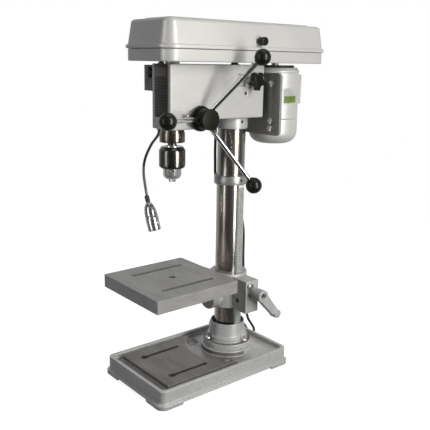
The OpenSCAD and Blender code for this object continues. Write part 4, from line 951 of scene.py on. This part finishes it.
def chuck_sleeve():
    """The key sleeve: bevel teeth round its foot, a groove, a sloping shoulder and room for the jaws."""
    room_low, room_high = sleeve_low + SLEEVE_LIP, sleeve_high - SLEEVE_LIP
    profile = [
        (SLEEVE_BORE, sleeve_low, 0),
        (SLEEVE_R - 4, sleeve_low, 0),
        (SLEEVE_R - 3.9, sleeve_low + 0.1, TOOTH_TIP),
        (SLEEVE_R, sleeve_low + 4, TOOTH_DEPTH),
        (SLEEVE_R, sleeve_low + 5.5, TOOTH_DEPTH),
        (SLEEVE_R - GROOVE, sleeve_low + 5.7, 0),
        (SLEEVE_R - GROOVE, sleeve_low + 6.5, 0),
        (SLEEVE_R, sleeve_low + 7, 0),
        (SLEEVE_R, sleeve_high - 7.6, 0),
        (SLEEVE_R - 0.5, sleeve_high - 6.6, 0),
        (SLEEVE_R - 4.5, sleeve_high - 0.6, 0),
        (SLEEVE_R - 5.5, sleeve_high, 0),
        (SLEEVE_BORE, sleeve_high, 0),
        (SLEEVE_BORE, room_high, 0),
        (SLEEVE_ROOM, room_high, 0),
        (SLEEVE_ROOM, room_low, 0),
        (SLEEVE_BORE, room_low, 0),
        (SLEEVE_BORE, sleeve_low, 0),
    ]

    def spot(across, along, height):
        return mm(across, SPINDLE_Y + along, height)

    return notched(profile, SLEEVE_TEETH, TOOTH_STEPS, TOOTH_CUT, spot)


add_piece(
    "key_sleeve", chuck_sleeve(), "chuck_sleeve", [chuck_steel], ["chuck_sleeve"],
    NOTCH_CREASE,
)

FEED_AXIS = Vector((0, -69, 560))
LEVERS = 3
LEVER_CROSS = 53
LEVER_TILT = math.radians(29.5)
LEVER_PHASE = math.radians(3)
LEVER_L, BALL_R, ROD_R = 163, 16, 4.5
ROD_FOOT, ROD_END = 14, LEVER_L - BALL_R + 6
BALL_STEPS = 24
BALL_FLAT = 0.14
BALL_COLLAR = 2.2
BALL_FOOT = -BALL_R + 0.4


def lever_ways():
    """Start and direction of each of the feed levers."""
    start = FEED_AXIS + Vector((LEVER_CROSS, 0, 0))
    for k in range(LEVERS):
        turn = Matrix.Rotation(k * math.tau / LEVERS - LEVER_PHASE, 3, "X")
        yield start, turn @ Vector((math.sin(LEVER_TILT), -math.cos(LEVER_TILT), 0))


def ball_profile():
    """A ball with a short neck and a flat where the rod enters."""
    outline = [(ROD_R, BALL_FOOT), (ROD_R + BALL_COLLAR, BALL_FOOT)]
    for k in range(1, BALL_STEPS):
        angle = math.pi * (BALL_FLAT + (1 - BALL_FLAT) * k / BALL_STEPS)
        outline.append((BALL_R * math.sin(angle), -BALL_R * math.cos(angle)))
    return outline + [(0, BALL_R)]


balls = [lathe(ball_profile(), start + way * LEVER_L, way, around=48) for start, way in lever_ways()]
add_piece(
    "lever_knobs", together(*balls), "feed", [ball_black], ["lever_balls"], SHEET_CREASE
)

rod_outline = soft([(0, ROD_FOOT), (ROD_R, ROD_FOOT), (ROD_R, ROD_END), (0, ROD_END)], radius=0.6)
rods = [lathe(rod_outline, start, way, around=32) for start, way in lever_ways()]
add_piece("lever_arms", together(*rods), "feed", [chrome], ["lever_rods"])

DIAL_R, DIAL_BORE, DIAL_X, DIAL_T = 25, 18, 39.3, 8
DIAL_EDGE = 2.6
DIAL_MARKS, LONG_EVERY = 60, 5
MARK_L, MARK_LONG_L, MARK_W, MARK_H, MARK_INSET = 2.2, 3.5, 0.45, 0.2, 0.8


def dial_ring():
    """The depth dial: a dark rim with a bright edge, and a light mark on the rim for each division."""
    outline = [
        (DIAL_BORE, 0), (DIAL_R, 0), (DIAL_R, DIAL_EDGE), (DIAL_R, DIAL_T), (DIAL_BORE, DIAL_T),
        (DIAL_BORE, 0),
    ]
    place = FEED_AXIS + Vector((DIAL_X, 0, 0))
    ring = lathe(soft(outline, radius=0.6), place, RIGHT, around=96)
    for face in ring.faces:
        face.material_index = int(face.calc_center_median().x > (DIAL_X + DIAL_EDGE) * MM)
    marks = []
    for k in range(DIAL_MARKS):
        long = MARK_L if k % LONG_EVERY else MARK_LONG_L
        mark = bmesh.new()
        bmesh.ops.create_cube(mark, size=1)
        size = Matrix.Diagonal((long * MM, MARK_W * MM, MARK_H * MM, 1))
        turn = Matrix.Rotation(math.tau * k / DIAL_MARKS, 4, "X")
        lift = Matrix.Translation(mm(DIAL_T - MARK_INSET - long / 2, 0, DIAL_R))
        mark.transform(Matrix.Translation(place * MM) @ turn @ lift @ size)
        marks.append(mark)
    return together(ring, *marks)


add_piece("dial_ring", dial_ring(), "depth_dial", [bright_steel, hub_black], ["depth_dial"])

case_low, case_high = box_mm("spring_cap")
CASE_NOTCHES = 8
NOTCH_STEPS, NOTCH_CUT, NOTCH_DEPTH = 16, 4, 2
NUT_R = 8
STUD_L = 6


def spring_case():
    """The return spring's case: a cup notched round its rim, a stepped face and a nut on its stud."""
    radius = (case_high.z - case_low.z) / 2
    front = case_high.x - case_low.x - STUD_L
    profile = [
        (radius - 1.5, 0, 0),
        (radius - 0.4, 0, 0),
        (radius, 0.4, 0),
        (radius, front - 9, 0),
        (radius, front - 8.8, NOTCH_DEPTH),
        (radius, front - 1.2, NOTCH_DEPTH),
        (radius - 1.2, front, NOTCH_DEPTH),
        (radius - 6, front, 0),
        (radius - 7, front - 1, 0),
        (13, front - 1, 0),
        (12, front, 0),
        (0.01, front, 0),
    ]

    def spot(across, along, height):
        return mm(case_high.x - height, FEED_AXIS.y + across, FEED_AXIS.z + along)

    cup = notched(profile, CASE_NOTCHES, NOTCH_STEPS, NOTCH_CUT, spot)
    seat = (case_high.x - front, FEED_AXIS.y, FEED_AXIS.z)
    nut_outline = [(0, -0.5), (NUT_R, -0.5), (NUT_R, 4.2), (NUT_R - 1.4, 4.8), (0, 4.8)]
    stud_outline = [(0, 4), (4, 4), (4, STUD_L - 0.4), (3.6, STUD_L), (0, STUD_L)]
    nut = lathe(soft(nut_outline, radius=0.3), seat, LEFT, around=6)
    stud = lathe(soft(stud_outline, radius=0.2), seat, LEFT, around=24)
    return layered([cup], [nut, stud])


add_piece(
    "spring_case", spring_case(), "frame", [silver, bright_steel], ["spring_cap"],
    NOTCH_CREASE,
)


# Work lamp: the neck's route, and outlines of (radius, height) along the shade's axis

LAMP_UPPER = [
    (-27, -119, 534), (-29, -119, 526), (-40, -117, 517), (-66, -111, 501), (-92, -107, 475),
    (-103, -106, 455),
]
LAMP_LOWER = [(-105, -106, 440), (-104, -106, 425), (-98, -106, 402), (-90, -106, 376)]
LAMP_STEPS = 12
LAMP_NECK_R = 3
LAMP_RIB = 0.25
LAMP_ROOT = LAMP_UPPER[0]
LAMP_TIP = LAMP_LOWER[-1]
LAMP_AXIS = (0.407, 0, -0.914)
ROOT_NUT = [(0, 0), (5.2, 0), (5.2, 3.4), (4.2, 4), (0, 4)]
NECK_SLEEVE = [(LAMP_NECK_R, -11), (4.6, -10.5), (5, -8), (5, 2), (4.4, 4.5), (3, 5)]
SHADE_OUTER = [
    (4.6, 4), (6.4, 5.5), (8.6, 8.5), (10.6, 12.5), (12.2, 18), (13.3, 24), (14, 30), (14.3, 34.2),
    (14.4, 34.8), (13.9, 35.2), (13.9, 35.8), (14.3, 36.2), (14.3, 42), (14.1, 54), (14, 65), (14, 65.6),
    (13.4, 66),
]
SHADE_WALL = 1.2
SHADE_FLOOR = (0, 20)
SHADE_INNER = [(radius - SHADE_WALL, height) for radius, height in reversed(SHADE_OUTER[4:-1])]
BULB = [(0, 17), (4.5, 17), (4.5, 30), (6.5, 34), (8.2, 39), (8, 44), (6, 48), (3, 49.6), (0, 50)]

neck = add_piece(
    "lamp_neck", tube(smooth_route(LAMP_UPPER + LAMP_LOWER, LAMP_STEPS), LAMP_NECK_R, LAMP_RIB), None,
    [neck_steel], ["lamp_neck_upper", "lamp_neck_lower"], TUBE_CREASE,
)
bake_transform(neck)
add_piece(
    "lamp_root_nut", lathe(soft(ROOT_NUT, radius=0.5), LAMP_ROOT, UP, around=6), "frame", [bright_steel],
)
add_piece(
    "lamp_sleeve", lathe(soft(NECK_SLEEVE, radius=0.6), LAMP_TIP, LAMP_AXIS, around=32), "lamp",
    [black_rubber],
)
shade = lathe(SHADE_OUTER + SHADE_INNER + [SHADE_FLOOR], LAMP_TIP, LAMP_AXIS, around=64)
add_piece("lamp_shade_shell", shade, "lamp", [nickel], ["lamp_shade"], SHEET_CREASE)
globe = lathe(soft(BULB, radius=2), LAMP_TIP, LAMP_AXIS, around=32)
add_piece("lamp_globe", globe, "lamp", [warm_glass], ["lamp_bulb"], TUBE_CREASE)


# Front plate and motor label, both plain

plate_low, plate_high = box_mm("front_plate")
PLATE_EASE = 0.3
PLATE_MARGIN, PLATE_TOP_MARGIN, PLATE_FOOT_MARGIN = 4, 6, 10
BAND_H, BAND_PROUD, BAND_EASE = 17, 0.1, 0.1
RULE_DROP, RULE_STEP, RULE_H, RULE_PROUD, RULE_EASE = 24, 6, 0.5, 0.06, 0.05
SHORT_EVERY, SHORT_BY = 3, 9
PRINT_ROOT = 0.3


def add_front_plate():
    """A dark plate with a plain band at its top and ruled lines below."""
    left, right = plate_low.x + PLATE_MARGIN, plate_high.x - PLATE_MARGIN
    top, front = plate_high.z - PLATE_TOP_MARGIN, plate_low.y
    root = front + PRINT_ROOT
    band = slab((left, front - BAND_PROUD, top - BAND_H), (right, root, top), BAND_EASE)
    rules = []
    for n, z in enumerate(range(int(top) - RULE_DROP, int(plate_low.z) + PLATE_FOOT_MARGIN, -RULE_STEP)):
        end = right - (SHORT_BY if n % SHORT_EVERY == SHORT_EVERY - 1 else 0)
        rules.append(slab((left, front - RULE_PROUD, z), (end, root, z + RULE_H), RULE_EASE))
    whole = layered([eased("front_plate", PLATE_EASE)], [band], rules)
    finishes = [plate_brown, plate_band, plate_line]
    add_piece("ruled_plate", whole, "frame", finishes, ["front_plate"])


MOTOR_Y, MOTOR_R = 172, 54
LABEL_FROM, LABEL_TO = -22, 18
LABEL_LEVELS = [582, 585, 599, 616]
LABEL_BAND = 1
LABEL_STEPS = 24
LABEL_LIFT, LABEL_T = 0.15, 0.12


def add_motor_label():
    """A plain label that follows the motor's round side, with one coloured band."""
    shape = bmesh.new()
    radius = MOTOR_R + LABEL_LIFT
    step = (LABEL_TO - LABEL_FROM) / LABEL_STEPS
    turns = [math.radians(LABEL_FROM + step * k) for k in range(LABEL_STEPS + 1)]
    spots = [(radius * math.cos(turn), MOTOR_Y + radius * math.sin(turn)) for turn in turns]
    grid = [[shape.verts.new(mm(*spot, level)) for spot in spots] for level in LABEL_LEVELS]
    for row, (low, high) in enumerate(zip(grid, grid[1:])):
        for k in range(LABEL_STEPS):
            face = shape.faces.new((low[k], low[k + 1], high[k + 1], high[k]))
            face.material_index = int(row == LABEL_BAND and 1 <= k < LABEL_STEPS - 1)
    bmesh.ops.solidify(shape, geom=shape.faces, thickness=LABEL_T * MM)
    add_piece("motor_label", shape, "motor_carriage", [label_white, label_ink])


LEAD_D, LEAD_REACH = 5, 40
LEAD_FROM, LEAD_TO, LEAD_POINTS, LEAD_STEPS = -75, 75, 9, 6
LEAD_ENDS = ((6, -46), (4, 47))
LEAD_SINK = 1
motor_top = box_mm("motor_bells")[1].z


def add_motor_lead():
    """The short lead that lies on the motor's top, from the plate's side round to the capacitor's box."""
    height = motor_top + LEAD_D / 2
    first, last = ((x, MOTOR_Y + y, height - LEAD_SINK) for x, y in LEAD_ENDS)
    line = [first]
    for k in range(LEAD_POINTS):
        angle = math.radians(LEAD_FROM + (LEAD_TO - LEAD_FROM) * k / (LEAD_POINTS - 1))
        line.append((LEAD_REACH * math.cos(angle), MOTOR_Y + LEAD_REACH * math.sin(angle), height))
    line.append(last)
    lead = tube(smooth_route(line, LEAD_STEPS), LEAD_D / 2)
    add_piece("motor_lead", lead, "motor_carriage", [black_rubber], crease=TUBE_CREASE)


add_front_plate()
add_motor_label()
add_motor_lead()


# Table rack, with painted shade between its teeth

RACK_EASE = 0.25
RACK_DEPTH = 0.6
RACK_FRONT = -0.7
rack_tip = box_mm("table_rack")[1].x


def rack_finish(face):
    """Painted shade below the teeth's tips, except on the rack's front."""
    return int(face.calc_center_median().x / MM < rack_tip - RACK_DEPTH and face.normal.y > RACK_FRONT)


add_piece(
    "toothed_rack", eased("table_rack", RACK_EASE), body_of["table_rack"], [rack_iron, rack_painted_shade],
    ["table_rack"], choose=rack_finish,
)


# Nodes that keep their own shape, with edges eased by a small radius in millimetres

EASED = {
    "switch_box": (1.5, box_paint),
    "motor_plate": (1.0, dark_paint),
    "motor_bolts": (0.5, bright_steel),
    "flange_bolts": (0.5, bright_steel),
    "rack_ring": (1.0, ring_steel),
    "dial_lock": (0.5, bright_steel),
    "feed_hub": (1.5, hub_black),
    "lid_knob": (1.5, ball_black),
    "switch_button": (1.2, black_gloss),
    "lid_hinges": (0.3, bright_steel),
    "tilt_bolt": (0.6, bright_steel),
    "slide_lock_knob": (1.5, ball_black),
    "bracket_lock": (0.5, bright_steel),
    "cord_gland": (0.6, black_rubber),
    "quill": (0.3, quill_steel),
    "spindle": (0.3, chuck_steel),
    "lamp_toggle": (0.2, bright_steel),
    "spindle_pulley": (0.3, pulley_alloy),
    "motor_pulley": (0.3, pulley_alloy),
    "v_belt": (0.5, belt_rubber),
    "drive_sleeve": (0.3, bright_steel),
    "slide_rods": (0.4, bright_steel),
    "chuck_body": (0.4, nose_steel),
}

for node, (width, material) in EASED.items():
    crease = NOSE_CREASE if node == "chuck_body" else CREASE
    add_piece(node + "_eased", eased(node, width), body_of[node], [material], [node], crease=crease)

dress({
    "set_screws": black_satin,
    "return_spring": bright_steel,
    "pulley_bearing": bright_steel,
    "quill_bearings": bright_steel,
    "chuck_jaw_1": bright_steel,
    "chuck_jaw_2": bright_steel,
    "chuck_jaw_3": bright_steel,
    "feed_shaft": bright_steel,
    "motor_shaft": bright_steel,
    "lift_gear": black_satin,
    "crank_shaft": black_satin,
})


# Studio, in metres and watts

SUBJECT = mm(0, 20, 380)
FLOOR_R = 1.7
FLOOR_SIDES = 128
FLOOR_GLOW = 0.9
ROOM_COLOUR = (0.97, 0.98, 1, 1)
ROOM_RANGE = {"From Min": -0.1, "From Max": 0.8, "To Min": 0.06, "To Max": 0.6}
WARM_LIGHT = (1, 0.995, 0.955)
TOP_PLACE = Vector((0.3, 0.0, 2.3))


def add_area(name, place, width, tall, power):
    """A soft light at a place, turned to the object."""
    lamp = bpy.data.lights.new(name, "AREA")
    lamp.shape = "RECTANGLE"
    lamp.size = width
    lamp.size_y = tall
    lamp.energy = power
    light = bpy.data.objects.new(name, lamp)
    light.visible_camera = False
    light.location = place
    light.rotation_euler = (SUBJECT - place).to_track_quat("-Z", "Y").to_euler()
    scene.collection.objects.link(light)
    return light


def add_softbox(name, turn, distance, height, width, tall, power):
    """An upright soft light, so many degrees to the right of the camera as seen from the object."""
    angle = math.radians(turn)
    place = SUBJECT + (view_right * math.sin(angle) - view_level * math.cos(angle)) * distance
    place.z = height
    return add_area(name, place, width, tall, power)


def add_world():
    """A white background, with a room for light and reflections that is dim in front and pale behind."""
    world = bpy.data.worlds.new("studio")
    world.use_nodes = True
    scene.world = world
    world.node_tree.nodes.clear()
    coords = add_node(world, "TexCoord").outputs["Generated"]
    ways = {0: coords, 1: view_level}
    facing = add_node(world, "VectorMath", ways, operation="DOT_PRODUCT").outputs["Value"]
    strength = add_node(world, "MapRange", {"Value": facing, **ROOM_RANGE}).outputs["Result"]
    room = add_node(world, "Background", {"Color": ROOM_COLOUR, "Strength": strength}).outputs[0]
    seen = add_node(world, "Background", {"Color": WHITE}).outputs[0]
    direct = add_node(world, "LightPath").outputs["Is Camera Ray"]
    chosen = add_node(world, "MixShader", {0: direct, 1: room, 2: seen}).outputs[0]
    add_node(world, "OutputWorld", {"Surface": chosen})


def add_floor():
    """A pale round floor that glows a little, as a lit table does."""
    shape = bmesh.new()
    bmesh.ops.create_circle(shape, cap_ends=True, segments=FLOOR_SIDES, radius=FLOOR_R)
    pale = finish("pale_floor", grey(0.24), grey(0.26), rough=(0.7, 0.8), broad=3, grain=200, depth=0.01)
    surface_of(pale).inputs["Emission Color"].default_value = WHITE
    surface_of(pale).inputs["Emission Strength"].default_value = FLOOR_GLOW
    mesh = bpy.data.meshes.new("floor")
    shape.to_mesh(mesh)
    shape.free()
    mesh.materials.append(pale)
    floor = bpy.data.objects.new("floor", mesh)
    floor.visible_glossy = False
    floor.visible_diffuse = False
    scene.collection.objects.link(floor)


add_world()
add_floor()
right_box = add_softbox("right_box", turn=45, distance=1.6, height=0.75, width=0.34, tall=1.9, power=39)
right_box.data.color = WARM_LIGHT
add_softbox("left_box", turn=-50, distance=1.6, height=0.75, width=0.24, tall=1.7, power=4.5)
rear_box = add_softbox("rear_box", turn=200, distance=1.8, height=0.9, width=1.4, tall=1.5, power=13)
rear_box.visible_glossy = False
left_gleam = add_softbox("left_gleam", turn=-50, distance=1.6, height=0.75, width=0.2, tall=1.5, power=9)
left_gleam.visible_diffuse = False
add_area("top_box", TOP_PLACE, width=1.3, tall=1.3, power=5.5)
scene.view_settings.view_transform = "Standard"
